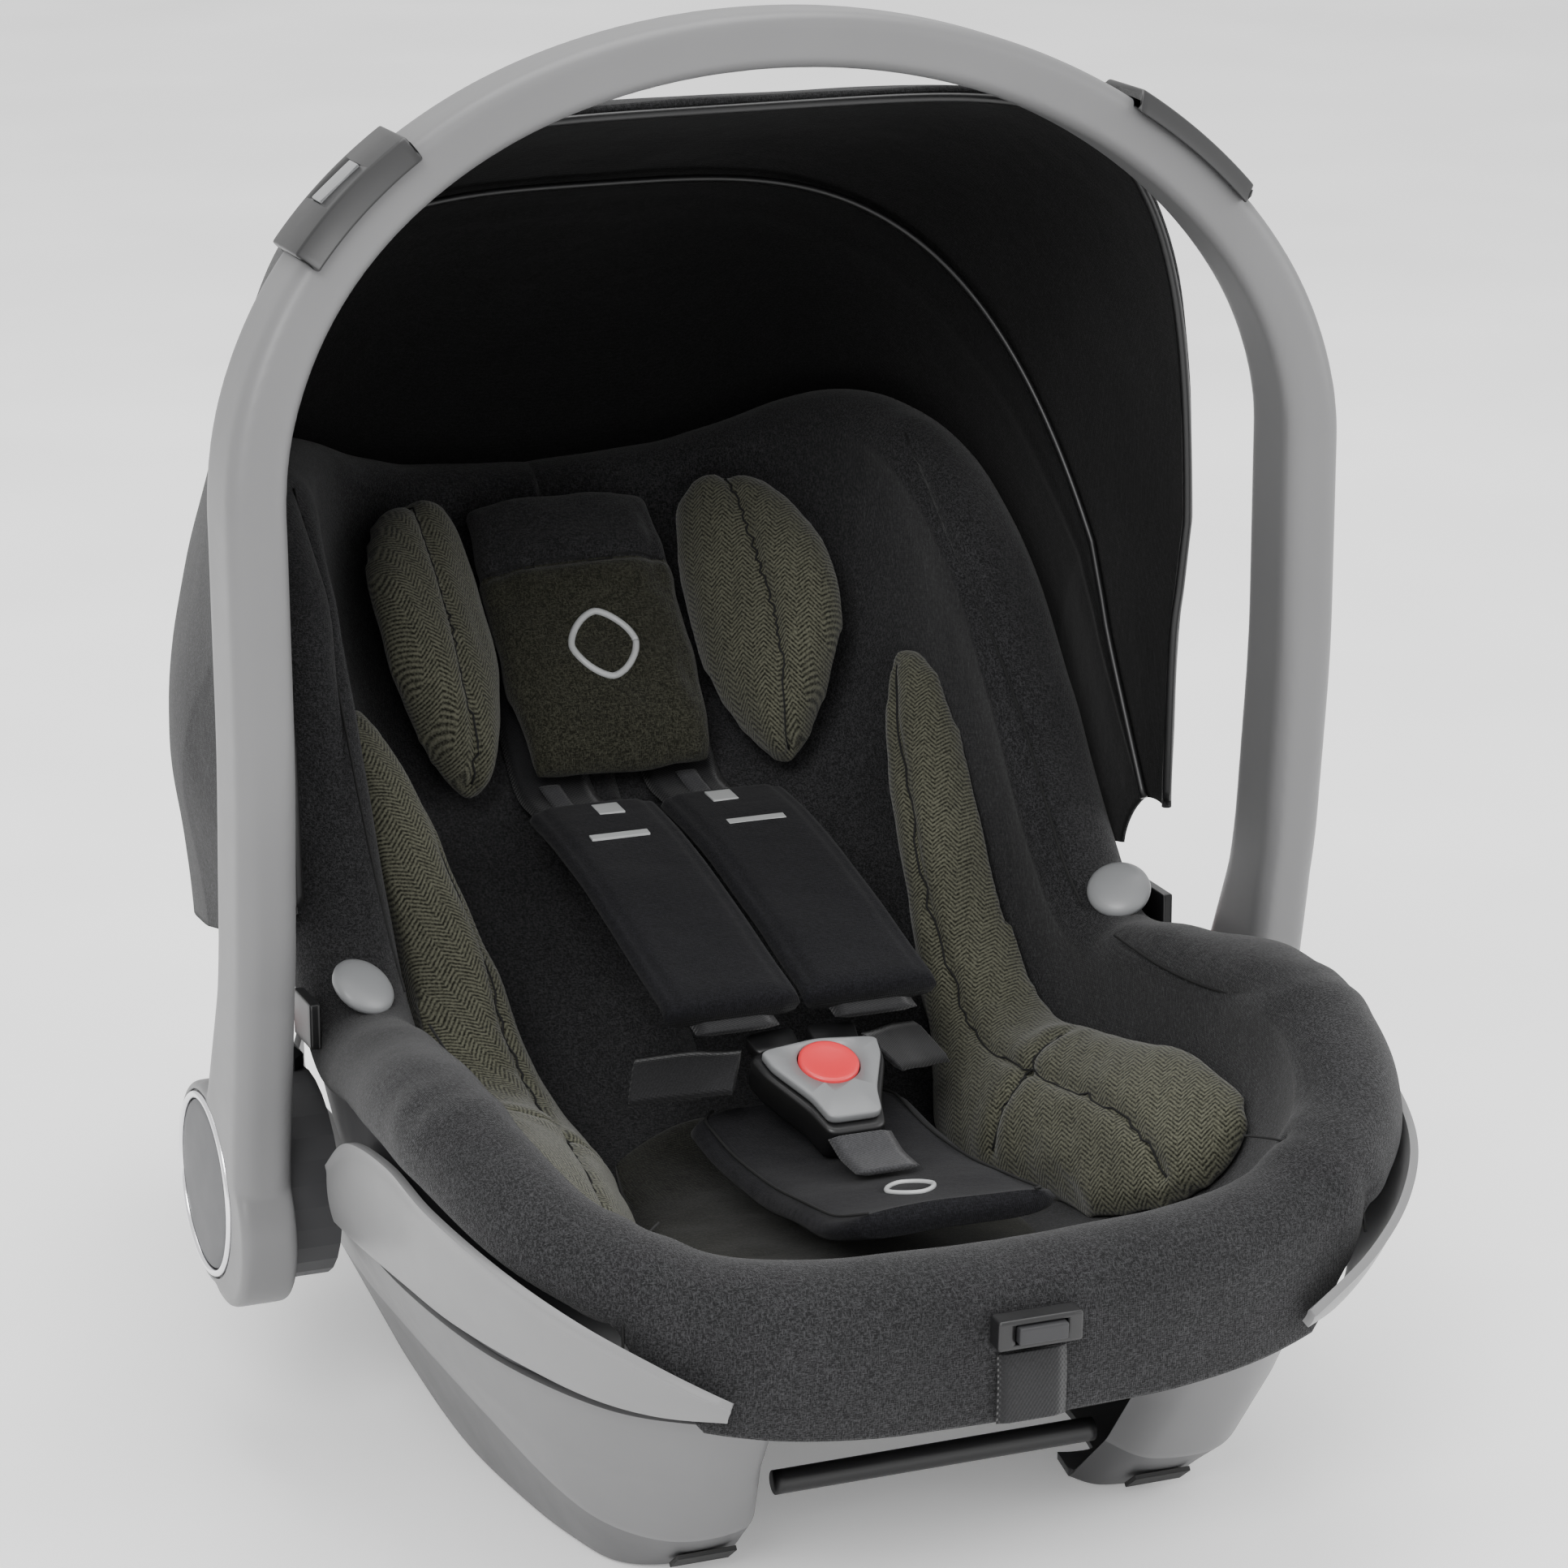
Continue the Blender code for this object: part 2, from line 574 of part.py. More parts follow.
def hub_parts(side, letter):
    bm = bmesh.new()
    ring_steps, tube_steps, big, small = 28, 6, 0.0366, 0.0014
    rings = []
    for i in range(ring_steps):
        a = 2 * math.pi * i / ring_steps
        rings.append([
            Vector((small * math.sin(2 * math.pi * k / tube_steps),
                    (big + small * math.cos(2 * math.pi * k / tube_steps)) * math.cos(a),
                    (big + small * math.cos(2 * math.pi * k / tube_steps)) * math.sin(a)))
            for k in range(tube_steps)])
    rows = [[bm.verts.new(p) for p in ring] for ring in rings]
    for i in range(ring_steps):
        for k in range(tube_steps):
            a, b = rows[i], rows[(i + 1) % ring_steps]
            bm.faces.new((a[k], a[(k + 1) % tube_steps], b[(k + 1) % tube_steps], b[k]))
    ring = node("hub_ring_" + letter, bm, CHROME)
    ring.location = (0.2324 * side, HUB.y, HUB.z)
    disc("hub_cap_" + letter, (0.2317 * side, HUB.y, HUB.z), 0.0346, 0.0018, DARK, 28)
    boss = disc("hub_boss_" + letter, (0.1980 * side, HUB.y, HUB.z), 0.0425, 0.0206, DARK, 28)
    arm = box("boss_arm", (0.1935 * side, 0.034, 0.137), (0.0110, 0.066, 0.046), DARK, bevel=0.006, segments=1)
    combine(boss, "UNION", arm)
    cavity = disc("boss_cavity", (0.2050 * side, HUB.y, HUB.z), 0.0270, 0.0180, DARK, 24)
    combine(boss, "DIFFERENCE", cavity)
    bore = disc("boss_bore", (0.1900 * side, HUB.y, HUB.z), 0.0063, 0.0300, DARK, 16)
    combine(boss, "DIFFERENCE", bore)
    pocket = box("release_pocket", (0.1990 * side, 0.052, 0.146), (0.0100, 0.0212, 0.0192), DARK)
    combine(boss, "DIFFERENCE", pocket)
    disc("pivot_pin_" + letter, (0.2045 * side, HUB.y, HUB.z), 0.0058, 0.0390, STEEL, 16)
    lock_gear(side, letter)


def lock_gear(side, letter):
    """Toothed wheel in the boss that locks the handle's position."""
    teeth = 10
    outline = []
    for i in range(teeth * 4):
        angle = 2 * math.pi * (i + 0.5) / (teeth * 4)
        r = 0.0255 if i % 4 in (0, 1) else 0.0215
        outline.append((r * math.cos(angle), r * math.sin(angle)))
    rings = [[Vector((x * side, HUB.y + a, HUB.z + b)) for a, b in outline] for x in (0.1975, 0.2035)]
    gear = node("lock_gear_" + letter, lofted(rings), LIGHT)
    bore = disc("gear_bore", (0.2 * side, HUB.y, HUB.z), 0.0063, 0.03, LIGHT, 16)
    combine(gear, "DIFFERENCE", bore)


def grip_path(side):
    """The part of the handle's path that the shoulder insert covers."""
    fine = [p for p in handle_path(52) if p.x * side > 0 and 0.474 < p.z < 0.530]
    last = len(fine) - 1
    return [fine[round(last * i / 4)] for i in range(5)]


def grip(side, letter):
    """Saddle over the outside of the handle's shoulder, with the button that frees the handle."""
    path = grip_path(side)
    low, high = 0.0008, 0.0042
    tuck = LEG_HALF - 0.005
    edge = LEG_DEPTH - 0.0035
    section = [(tuck, -LEG_DEPTH - high), (LEG_HALF + high, -edge), (LEG_HALF + high, 0.0),
               (LEG_HALF + high, edge), (tuck, LEG_DEPTH + high), (tuck, LEG_DEPTH + low),
               (LEG_HALF - 0.0015, LEG_DEPTH + low - 0.0005), (LEG_HALF + low, LEG_DEPTH - 0.0020),
               (LEG_HALF + low, 0.0), (LEG_HALF + low, -LEG_DEPTH + 0.0020),
               (LEG_HALF - 0.0015, -LEG_DEPTH - low + 0.0005), (tuck, -LEG_DEPTH - low)]
    insert = node("grip_insert_" + letter, lofted(sweep_rings(path, lambda here: section)), DARK)
    ahead = path[3] - path[1]
    turn = Matrix.Rotation(math.atan2(ahead.x, ahead.z), 4, "Y")
    out = Vector((-ahead.z, 0, ahead.x)).normalized()
    pocket = box("grip_pocket", path[2] + out * (LEG_HALF + 0.0060), (0.0120, 0.0136, 0.0336), DARK, turn)
    combine(insert, "DIFFERENCE", pocket)
    place = path[2] + out * (LEG_HALF + 0.0037)
    box("grip_button_" + letter, place, (0.0030, 0.0128, 0.0328), LIGHT, turn)


# ---------------------------------------------------------------- side details
def side_details(side, letter):
    face = Matrix.Rotation(math.radians(-24 * side), 4, "Y") @ Matrix.Rotation(math.radians(32), 4, "X")
    disc("cover_snap_" + letter, (0.1675 * side, -0.012, 0.1860), 0.0135, 0.004, LIGHT, 24, 0, face)
    box("release_button_" + letter, (0.2008 * side, 0.052, 0.146), (0.0060, 0.020, 0.018), RED)
    box("canopy_mount_" + letter, (0.1888 * side, CANOPY_AXIS.y, 0.1730), (0.0045, 0.024, 0.0190), BLACK)


# ---------------------------------------------------------------- harness
def buckle_frame(along_it, up, across=0.0):
    """A point given along the buckle, above its face, and across the seat."""
    d = Vector((0, math.cos(BUCKLE_TILT), math.sin(BUCKLE_TILT)))
    n = Vector((0, -math.sin(BUCKLE_TILT), math.cos(BUCKLE_TILT)))
    return BUCKLE + d * along_it + n * up + Vector((across, 0, 0))


def extruded(name, outline, low, high, mat, bevel=0.0):
    """An outline in the buckle's plane, as (across, along) points, between two heights."""
    rings = [[buckle_frame(b, h, a) for a, b in outline] for h in (low, high)]
    obj = node(name, lofted(rings), mat)
    return rounded(obj, bevel, 2) if bevel else obj


def harness():
    tilt = Matrix.Rotation(BUCKLE_TILT, 4, "X")
    body = [(-0.012, -0.034), (0.012, -0.034), (0.016, -0.018), (0.026, 0.004), (0.028, 0.016),
            (0.020, 0.020), (-0.020, 0.020), (-0.028, 0.016), (-0.026, 0.004), (-0.016, -0.018)]
    housing = extruded("buckle_body", body, -0.015, -0.0005, BLACK, 0.0015)
    plate = [(-0.011, -0.030), (0.011, -0.030), (0.014, -0.016), (0.0235, 0.004), (0.025, 0.014),
             (0.0, 0.0175), (-0.025, 0.014), (-0.0235, 0.004), (-0.014, -0.016)]
    face = extruded("buckle_plate", plate, 0.0, 0.0040, LIGHT, 0.001)
    hole = disc("button_hole", buckle_frame(0.002, 0.0, 0), 0.0130, 0.020, LIGHT, 28, 0, tilt)
    combine(face, "DIFFERENCE", hole)
    well = disc("button_well", buckle_frame(0.002, -0.0015, 0), 0.0130, 0.010, LIGHT, 28, 0, tilt)
    combine(housing, "DIFFERENCE", well)
    disc("buckle_button", buckle_frame(0.002, 0.0015, 0), 0.0124, 0.0070, RED, 28, 0.001, tilt)

    def tongue(side, letter):
        shape = [(0.003, 0.0210), (0.022, 0.0210), (0.024, 0.0330), (0.003, 0.0350)]
        rings = [[buckle_frame(b, h, a * side) for a, b in shape] for h in (-0.010, -0.004)]
        rounded(node("buckle_tongue_" + letter, lofted(rings), DARK), 0.001, 2)
    mirrored_pair(tongue)

    def shoulder(side, letter):
        x = 0.0300 * side
        route = [(x, -0.074, 0.1695), (x, -0.045, 0.1765), (x, 0.00, 0.188), (x, 0.05, 0.1990),
                 (x, 0.10, 0.2045), (x, 0.130, 0.2045), (x, 0.152, 0.2085), (x, 0.175, 0.2300),
                 (x, 0.205, 0.2578)]
        ribbon("shoulder_strap_" + letter, route, 0.036, 0.0022, WEBBING, 30)
        sleeve = [(x, -0.068, 0.1710), (x, -0.01, 0.1857), (x, 0.03, 0.1952), (x, 0.07, 0.2022),
                  (x, 0.104, 0.2050)]
        over = ribbon("shoulder_pad_" + letter, [(a, b, c + 0.0066) for a, b, c in sleeve], 0.058, 0.010,
                      PAD, 14)
        rounded(over, 0.003, 1)
        hip = [(0.0315 * side, -0.076, 0.1525), (0.043 * side, -0.067, 0.1500), (0.055 * side, -0.056, 0.1465),
               (0.066 * side, -0.047, 0.1430)]
        ribbon("lap_strap_" + letter, hip, 0.024, 0.002, WEBBING, 12, Vector((0.35 * side, 1, 0.2)))
    mirrored_pair(shoulder)

    front = [(0, -0.072, 0.124), (0, -0.10, 0.1215), (0, -0.14, 0.1235), (0, -0.175, 0.1290),
             (0, -0.205, 0.1345), (0, -0.222, 0.1405)]
    rounded(ribbon("crotch_pad", front, 0.096, 0.011, PAD, 10), 0.003, 1)
    ribbon("crotch_strap", [(0, -0.131, 0.1365), (0, -0.140, 0.1345), (0, -0.150, 0.1340),
                            (0, -0.158, 0.1345)], 0.027, 0.0022, WEBBING, 8)


def adjuster():
    """Strap that tightens the harness, on the front apron, with its clamp and release button."""
    turn = Matrix.Rotation(math.radians(4), 4, "X")
    housing = box("adjuster_housing", (0, -0.2985, 0.1240), (0.034, 0.0090, 0.012), BLACK, turn)
    pocket = box("adjuster_pocket", (0, -0.3030, 0.1240), (0.0210, 0.0100, 0.0078), BLACK, turn)
    combine(housing, "DIFFERENCE", pocket)
    box("adjuster_button", (0, -0.3028, 0.1240), (0.0196, 0.0060, 0.0066), DARK, turn)
    ribbon("adjuster_strap", [(0, -0.2945, 0.1135), (0, -0.2950, 0.105), (0, -0.2948, 0.096),
                              (0, -0.2940, 0.086)], 0.028, 0.0022, WEBBING, 8)


# ---------------------------------------------------------------- canopy
def bow_profile(inset, low, count=15):
    """The canopy's cross-section from one pivot over the crown to the other, as (x, r) points."""
    radius, half, power = CANOPY_R - inset, CANOPY_HALF - inset * 0.6, CANOPY_POWER
    points = [(half - 0.007, low), (half - 0.006, 0.090), (half - 0.003, 0.145)]
    for i in range(count // 2 + 1):
        angle = math.radians(42 + 48 * i / (count // 2))
        c, s = math.cos(angle), math.sin(angle)
        scale = (abs(c / half) ** power + abs(s / radius) ** power) ** (-1 / power)
        points.append((c * scale, s * scale))
    return [(-x, r) for x, r in points] + points[-2::-1]


def swing(x, r, degrees):
    """A point at radius r from the canopy's axis, degrees back from upright."""
    a = math.radians(degrees)
    return Vector((x, CANOPY_AXIS.y + r * math.sin(a), CANOPY_AXIS.z + r * math.cos(a)))


def canopy_panel(name, start, end, inset, low, steps=4, wall=0.0012):
    """A sector of the canopy, from start to end degrees, inset from the outermost panel."""
    section = bow_profile(inset, low) + bow_profile(inset + wall, low)[::-1]
    rings = [
        [swing(x, r, start + (end - start) * i / steps) for x, r in section] for i in range(steps + 1)
    ]
    return node(name, lofted(rings), CANOPY)


def canopy_bow(name, degrees, inset, low, radius):
    """A bent wire just ahead of a panel's leading edge."""
    a = math.radians(degrees)
    ahead = Vector((0, -math.cos(a), math.sin(a))) * (radius + 0.0008)
    points = [swing(x, r, degrees) + ahead for x, r in bow_profile(inset, low)]
    return tube(name, points, radius, BLACK, 1)


def canopy():
    canopy_panel("canopy_rear", 66, 102, 0.0060, 0.034)
    canopy_panel("canopy_mid", 33, 70, 0.0030, 0.018)
    canopy_panel("canopy_front", -1.0, 37, 0.0, 0.018)
    canopy_bow("canopy_mid_bow", 33, 0.0078, 0.022, 0.0017)
    canopy_bow("canopy_front_bow", -1.0, 0.0022, 0.022, 0.0020)


# ---------------------------------------------------------------- assembly
seat_shell()
foam_liner()
seat_cover()
inserts()
headrest()
for build in (rim_trim, base_side, foot_pad, hub_parts, grip, side_details):
    mirrored_pair(build)
latch_bars()
carry_handle()
harness()
adjuster()
canopy()
for piece in (*SEAT.objects, *CUTTERS.objects):
    piece.location.y -= BOX_MIDDLE_Y
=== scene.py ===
import math

import bmesh
import bpy
import numpy as np
from mathutils import Matrix, Vector
from mathutils.bvhtree import BVHTree


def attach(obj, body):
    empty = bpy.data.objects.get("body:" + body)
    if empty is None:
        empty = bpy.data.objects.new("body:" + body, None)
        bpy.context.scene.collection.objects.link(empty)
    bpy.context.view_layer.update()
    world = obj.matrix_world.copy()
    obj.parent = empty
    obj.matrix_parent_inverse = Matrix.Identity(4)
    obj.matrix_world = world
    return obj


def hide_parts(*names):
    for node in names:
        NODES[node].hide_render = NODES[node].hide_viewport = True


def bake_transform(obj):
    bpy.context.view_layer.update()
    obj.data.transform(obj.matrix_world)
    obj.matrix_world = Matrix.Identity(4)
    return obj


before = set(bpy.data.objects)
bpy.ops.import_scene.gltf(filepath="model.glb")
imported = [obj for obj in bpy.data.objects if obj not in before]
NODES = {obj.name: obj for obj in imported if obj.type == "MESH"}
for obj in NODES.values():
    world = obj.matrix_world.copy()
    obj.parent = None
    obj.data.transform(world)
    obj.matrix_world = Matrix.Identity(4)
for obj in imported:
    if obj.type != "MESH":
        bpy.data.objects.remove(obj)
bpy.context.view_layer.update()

SIDES = ((1, "L"), (-1, "R"))
HANDS = {1: "left", -1: "right"}        # the seated baby's hands, as the bodies are named
MIRROR = np.array([-1, 1, 1])

# ---------------------------------------------------------------- the seat's own dimensions, in metres
HUB_Z, HUB_R = 0.107, 0.042
LEG_X, LEG_HALF, LEG_DEPTH = 0.221, 0.012, 0.0195
SHOULDER_Z, CROWN_Z, ARCH_POWER = 0.393, 0.560, 2.02
CANOPY_Y, CANOPY_Z = -0.004, 0.2
CANOPY_HALF, CANOPY_R = 0.200, 0.332
RIM_ROLL = 0.030
BUCKLE = np.array([0.0, -0.097, 0.155])
TILT = math.radians(22)
BELT_X = 0.0300
SHIFT = 0.007765            # the seat's dimensions below are measured from a point this far behind the origin
HEAD_FOOT = np.array([0.0, 0.152, 0.2024])
HEAD_UP = np.array([0.0, 0.68, 0.7332])
HEAD_OUT = np.array([0.0, -0.7332, 0.68])
HEAD_FLAT, HEAD_HALF, HEAD_LONG, HEAD_RISE = 0.047, 0.109, 0.146, 0.045
HEAD_BAND = 0.70            # share of the headrest panel's height below its charcoal band
CLOTH_FRAMES = 20

# Half outline of the rim from the foot end to the head end: x, y and the padded crest's z
RIM = [
    (0.000, -0.284, 0.140), (0.060, -0.283, 0.141), (0.105, -0.277, 0.146), (0.142, -0.264, 0.156),
    (0.173, -0.235, 0.171), (0.189, -0.188, 0.186), (0.191, -0.130, 0.189), (0.184, -0.070, 0.180),
    (0.178, -0.010, 0.172), (0.176, 0.030, 0.204), (0.174, 0.070, 0.262), (0.171, 0.110, 0.312),
    (0.165, 0.160, 0.344), (0.150, 0.210, 0.355), (0.120, 0.250, 0.347), (0.070, 0.274, 0.328),
    (0.000, 0.282, 0.320),
]
SEAT_MID = [
    (-0.248, 0.136), (-0.235, 0.122), (-0.215, 0.110), (-0.190, 0.100), (-0.160, 0.092),
    (-0.130, 0.086), (-0.100, 0.081), (-0.065, 0.077), (-0.030, 0.076), (0.005, 0.082),
    (0.040, 0.100), (0.080, 0.134), (0.120, 0.172), (0.160, 0.210), (0.200, 0.247),
    (0.235, 0.285), (0.252, 0.315),
]
HULL_MID = [
    (-0.262, 0.110), (-0.235, 0.092), (-0.205, 0.072), (-0.172, 0.054), (-0.145, 0.043),
    (-0.115, 0.036), (-0.080, 0.033), (-0.040, 0.032), (0.000, 0.032), (0.040, 0.034),
    (0.080, 0.040), (0.120, 0.052), (0.160, 0.072), (0.200, 0.104), (0.235, 0.147),
    (0.260, 0.205), (0.273, 0.262),
]
TRIM_TOP = [
    (0.200, -0.066, 0.134), (0.2010, -0.100, 0.155), (0.2005, -0.150, 0.163), (0.1985, -0.195, 0.160),
    (0.1865, -0.240, 0.151), (0.168, -0.269, 0.139), (0.144, -0.287, 0.125), (0.117, -0.293, 0.108),
]
TRIM_LOW = [
    (0.197, -0.062, 0.108), (0.196, -0.092, 0.109), (0.192, -0.140, 0.110), (0.186, -0.180, 0.109),
    (0.173, -0.218, 0.106), (0.156, -0.250, 0.102), (0.138, -0.272, 0.1005), (0.117, -0.288, 0.101),
]
BASE_RAILS = [   # top edge, crease, bottom edge and inner edge, from the rear round to the front
    [(0.140, 0.190, 0.098), (0.136, 0.190, 0.066), (0.110, 0.180, 0.034), (0.085, 0.175, 0.030)],
    [(0.158, 0.140, 0.096), (0.152, 0.140, 0.060), (0.122, 0.140, 0.008), (0.092, 0.140, 0.004)],
    [(0.168, 0.080, 0.096), (0.162, 0.080, 0.058), (0.134, 0.080, 0.000), (0.096, 0.080, 0.000)],
    [(0.176, 0.010, 0.096), (0.169, 0.010, 0.060), (0.140, 0.010, 0.000), (0.098, 0.010, 0.000)],
    [(0.182, -0.060, 0.092), (0.166, -0.060, 0.056), (0.142, -0.060, 0.000), (0.098, -0.060, 0.000)],
    [(0.177, -0.130, 0.0905), (0.158, -0.130, 0.048), (0.137, -0.120, 0.000), (0.096, -0.120, 0.000)],
    [(0.1645, -0.185, 0.089), (0.146, -0.182, 0.036), (0.131, -0.155, 0.000), (0.092, -0.145, 0.000)],
    [(0.1435, -0.235, 0.089), (0.132, -0.205, 0.028), (0.123, -0.180, 0.000), (0.090, -0.155, 0.000)],
    [(0.118, -0.262, 0.090), (0.112, -0.224, 0.026), (0.106, -0.190, 0.000), (0.088, -0.160, 0.000)],
    [(0.090, -0.258, 0.084), (0.085, -0.222, 0.026), (0.080, -0.188, 0.000), (0.080, -0.160, 0.000)],
    [(0.077, -0.236, 0.078), (0.074, -0.204, 0.028), (0.071, -0.176, 0.000), (0.074, -0.158, 0.000)],
]


# ---------------------------------------------------------------- camera, light and floor
def make_camera():
    """The camera stands at the foot end, to the seat's right, and looks slightly down."""
    azimuth, elevation, roll = (math.radians(a) for a in (-21.44, 16.5, -0.31))
    back = Vector((math.sin(azimuth) * math.cos(elevation),
                   -math.cos(azimuth) * math.cos(elevation), math.sin(elevation)))
    right = Vector((math.cos(azimuth), math.sin(azimuth), 0))
    up = back.cross(right)
    x_axis = right * math.cos(roll) + up * math.sin(roll)
    y_axis = up * math.cos(roll) - right * math.sin(roll)
    place = Vector((0, 0, 0.28)) + right * 0.018 - up * 0.030 + back * 1.998 - Vector((0, SHIFT, 0))
    data = bpy.data.cameras.new("camera")
    data.lens = 111.8
    data.sensor_width = 36
    camera = bpy.data.objects.new("camera", data)
    bpy.context.scene.collection.objects.link(camera)
    camera.matrix_world = Matrix((
        (x_axis.x, y_axis.x, back.x, place.x), (x_axis.y, y_axis.y, back.y, place.y),
        (x_axis.z, y_axis.z, back.z, place.z), (0, 0, 0, 1)))
    bpy.context.scene.camera = camera


def area_light(name, place, aim, size, power):
    data = bpy.data.lights.new(name, "AREA")
    data.shape = "DISK"
    data.size = size
    data.energy = power
    light = bpy.data.objects.new(name, data)
    bpy.context.scene.collection.objects.link(light)
    light.location = place
    light.rotation_euler = (Vector(aim) - Vector(place)).to_track_quat("-Z", "Y").to_euler()


def make_studio():
    area_light("key", (-1.6, -2.2, 2.3), (0, 0, 0.25), 1.6, 62)
    area_light("fill", (2.4, -1.6, 1.3), (0, 0, 0.25), 2.0, 32)
    area_light("top", (0.2, 0.6, 2.6), (0, 0, 0.2), 2.2, 46)
    world = bpy.data.worlds.new("studio")
    bpy.context.scene.world = world
    world.use_nodes = True
    sky = world.node_tree.nodes["Background"]
    sky.inputs["Color"].default_value = (1, 1, 1, 1)
    sky.inputs["Strength"].default_value = 1.15
    bm = bmesh.new()
    bmesh.ops.create_grid(bm, x_segments=8, y_segments=8, size=12)
    mesh = bpy.data.meshes.new("floor")
    bm.to_mesh(mesh)
    bm.free()
    floor = linked("floor", mesh)
    floor.location.z = -0.0005
    paint = material("floor_paint", (0.97, 0.97, 0.97), 0.9, cloud=3.0)
    glow = paint.node_tree.nodes["Principled BSDF"]
    glow.inputs["Emission Color"].default_value = (1, 1, 1, 1)
    glow.inputs["Emission Strength"].default_value = 0.22
    mesh.materials.append(paint)


# ---------------------------------------------------------------- materials
class Nodes:
    """A short way to add shader nodes and link them."""

    def __init__(self, name):
        self.made = bpy.data.materials.new(name)
        self.made.use_nodes = True
        self.tree = self.made.node_tree
        self.shader = self.tree.nodes["Principled BSDF"]

    def add(self, kind, **given):
        node = self.tree.nodes.new(kind)
        for key, value in given.items():
            if key in node.inputs:
                node.inputs[key].default_value = value
            else:
                setattr(node, key, value)
        return node

    def link(self, source, target):
        self.tree.links.new(source, target)

    def place(self):
        return self.add("ShaderNodeTexCoord").outputs["Object"]

    def maths(self, operation, a, b=None, clamp=False):
        node = self.add("ShaderNodeMath", operation=operation, use_clamp=clamp)
        for socket, value in zip(node.inputs, (a, b)):
            if isinstance(value, (int, float)):
                socket.default_value = value
            elif value is not None:
                self.link(value, socket)
        return node.outputs[0]

    def noise(self, scale, detail=2.0, place=None, roughness=0.5):
        node = self.add("ShaderNodeTexNoise", noise_dimensions="3D")
        node.inputs["Scale"].default_value = scale
        node.inputs["Detail"].default_value = detail
        node.inputs["Roughness"].default_value = roughness
        self.link(place or self.place(), node.inputs["Vector"])
        return node.outputs["Fac"]

    def ramp(self, value, stops):
        node = self.add("ShaderNodeValToRGB")
        ramp = node.color_ramp
        while len(ramp.elements) < len(stops):
            ramp.elements.new(0.5)
        for element, (at, colour) in zip(ramp.elements, stops):
            element.position = at
            element.color = (*colour, 1)
        self.link(value, node.inputs["Fac"])
        return node.outputs["Color"]

    def mix(self, amount, a, b, blend="MIX"):
        node = self.add("ShaderNodeMix", data_type="RGBA", blend_type=blend)
        for socket, value in ((node.inputs[0], amount), (node.inputs[6], a), (node.inputs[7], b)):
            if isinstance(value, (int, float)):
                socket.default_value = value
            elif isinstance(value, tuple):
                socket.default_value = (*value, 1)
            else:
                self.link(value, socket)
        return node.outputs[2]

    def bump(self, height, strength, distance=0.0005, normal=None):
        node = self.add("ShaderNodeBump", Strength=strength, Distance=distance)
        self.link(height, node.inputs["Height"])
        if normal:
            self.link(normal, node.inputs["Normal"])
        return node.outputs["Normal"]

    def worn_colour(self, value, dark, light, stops, scale, low, high):
        """Yarn colours from dark to light, made uneven by soft, worn patches."""
        between = tuple((a + b) / 2 for a, b in zip(dark, light))
        colour = self.ramp(value, list(zip(stops, (dark, between, light))))
        worn = self.ramp(self.noise(scale, 3.0), [(0.3, (low,) * 3), (0.7, (high,) * 3)])
        self.link(self.mix(1.0, colour, worn, "MULTIPLY"), self.shader.inputs["Base Color"])

    def cloth(self, height, strength, slub, sheen):
        """A matt, soft-haired finish with the weave's relief over the slubs."""
        self.link(self.bump(height, strength, 0.0006, slub), self.shader.inputs["Normal"])
        self.set(Roughness=0.95, Sheen_Weight=sheen, Sheen_Roughness=0.5, Specular_IOR_Level=0.15)
        return self.made

    def set(self, **given):
        """Sets the shader's sockets, whose names are given with _ for each space."""
        for key, value in given.items():
            self.shader.inputs[key.replace("_", " ")].default_value = value


def shade(colour, factor):
    return tuple(c * factor for c in colour)


def material(name, colour, roughness, cloud=9.0, metallic=0.0, coat=0.0):
    """Smooth paint, plastic or metal: colour clouds, fine grain in the surface and uneven gloss."""
    n = Nodes(name)
    tint = n.ramp(n.noise(cloud, 3.0), [(0.3, shade(colour, 0.94)), (0.7, shade(colour, 1.05))])
    n.link(tint, n.shader.inputs["Base Color"])
    gloss = n.maths("MULTIPLY_ADD", n.noise(60.0, 4.0), 0.12)
    gloss.node.inputs[2].default_value = roughness - 0.06
    n.link(gloss, n.shader.inputs["Roughness"])
    grain = n.noise(2400.0, 1.0)
    n.link(n.bump(grain, 0.10, 0.0002), n.shader.inputs["Normal"])
    n.set(Metallic=metallic, Coat_Weight=coat, Coat_Roughness=0.25)
    return n.made


def melange(name, dark, light, thread=1150.0, bump=0.55, sheen=0.25):
    """Woven melange cloth: flecked yarns both ways, a plain weave in relief and soft, worn patches."""
    n = Nodes(name)
    place = n.place()
    along = n.add("ShaderNodeMapping", vector_type="POINT")
    along.inputs["Scale"].default_value = (0.35, 1.0, 1.0)
    across = n.add("ShaderNodeMapping", vector_type="POINT")
    across.inputs["Scale"].default_value = (1.0, 0.35, 0.35)
    n.link(place, along.inputs["Vector"])
    n.link(place, across.inputs["Vector"])
    warp = n.noise(thread, 1.5, along.outputs["Vector"])
    weft = n.noise(thread, 1.5, across.outputs["Vector"])
    fleck = n.maths("MAXIMUM", warp, weft)
    n.worn_colour(fleck, dark, light, (0.46, 0.60, 0.74), 16.0, 0.86, 1.10)
    split = n.add("ShaderNodeSeparateXYZ")
    n.link(place, split.inputs[0])
    waves = [n.maths("SINE", n.maths("MULTIPLY", axis, thread * 3.6)) for axis in split.outputs]
    weave = n.maths("ADD", n.maths("MULTIPLY", waves[0], waves[1]), n.maths("MULTIPLY", waves[1], waves[2]))
    height = n.maths("ADD", n.maths("MULTIPLY", weave, 0.22), fleck)
    return n.cloth(height, bump, n.bump(n.noise(70.0, 3.0), 0.18, 0.003), sheen)


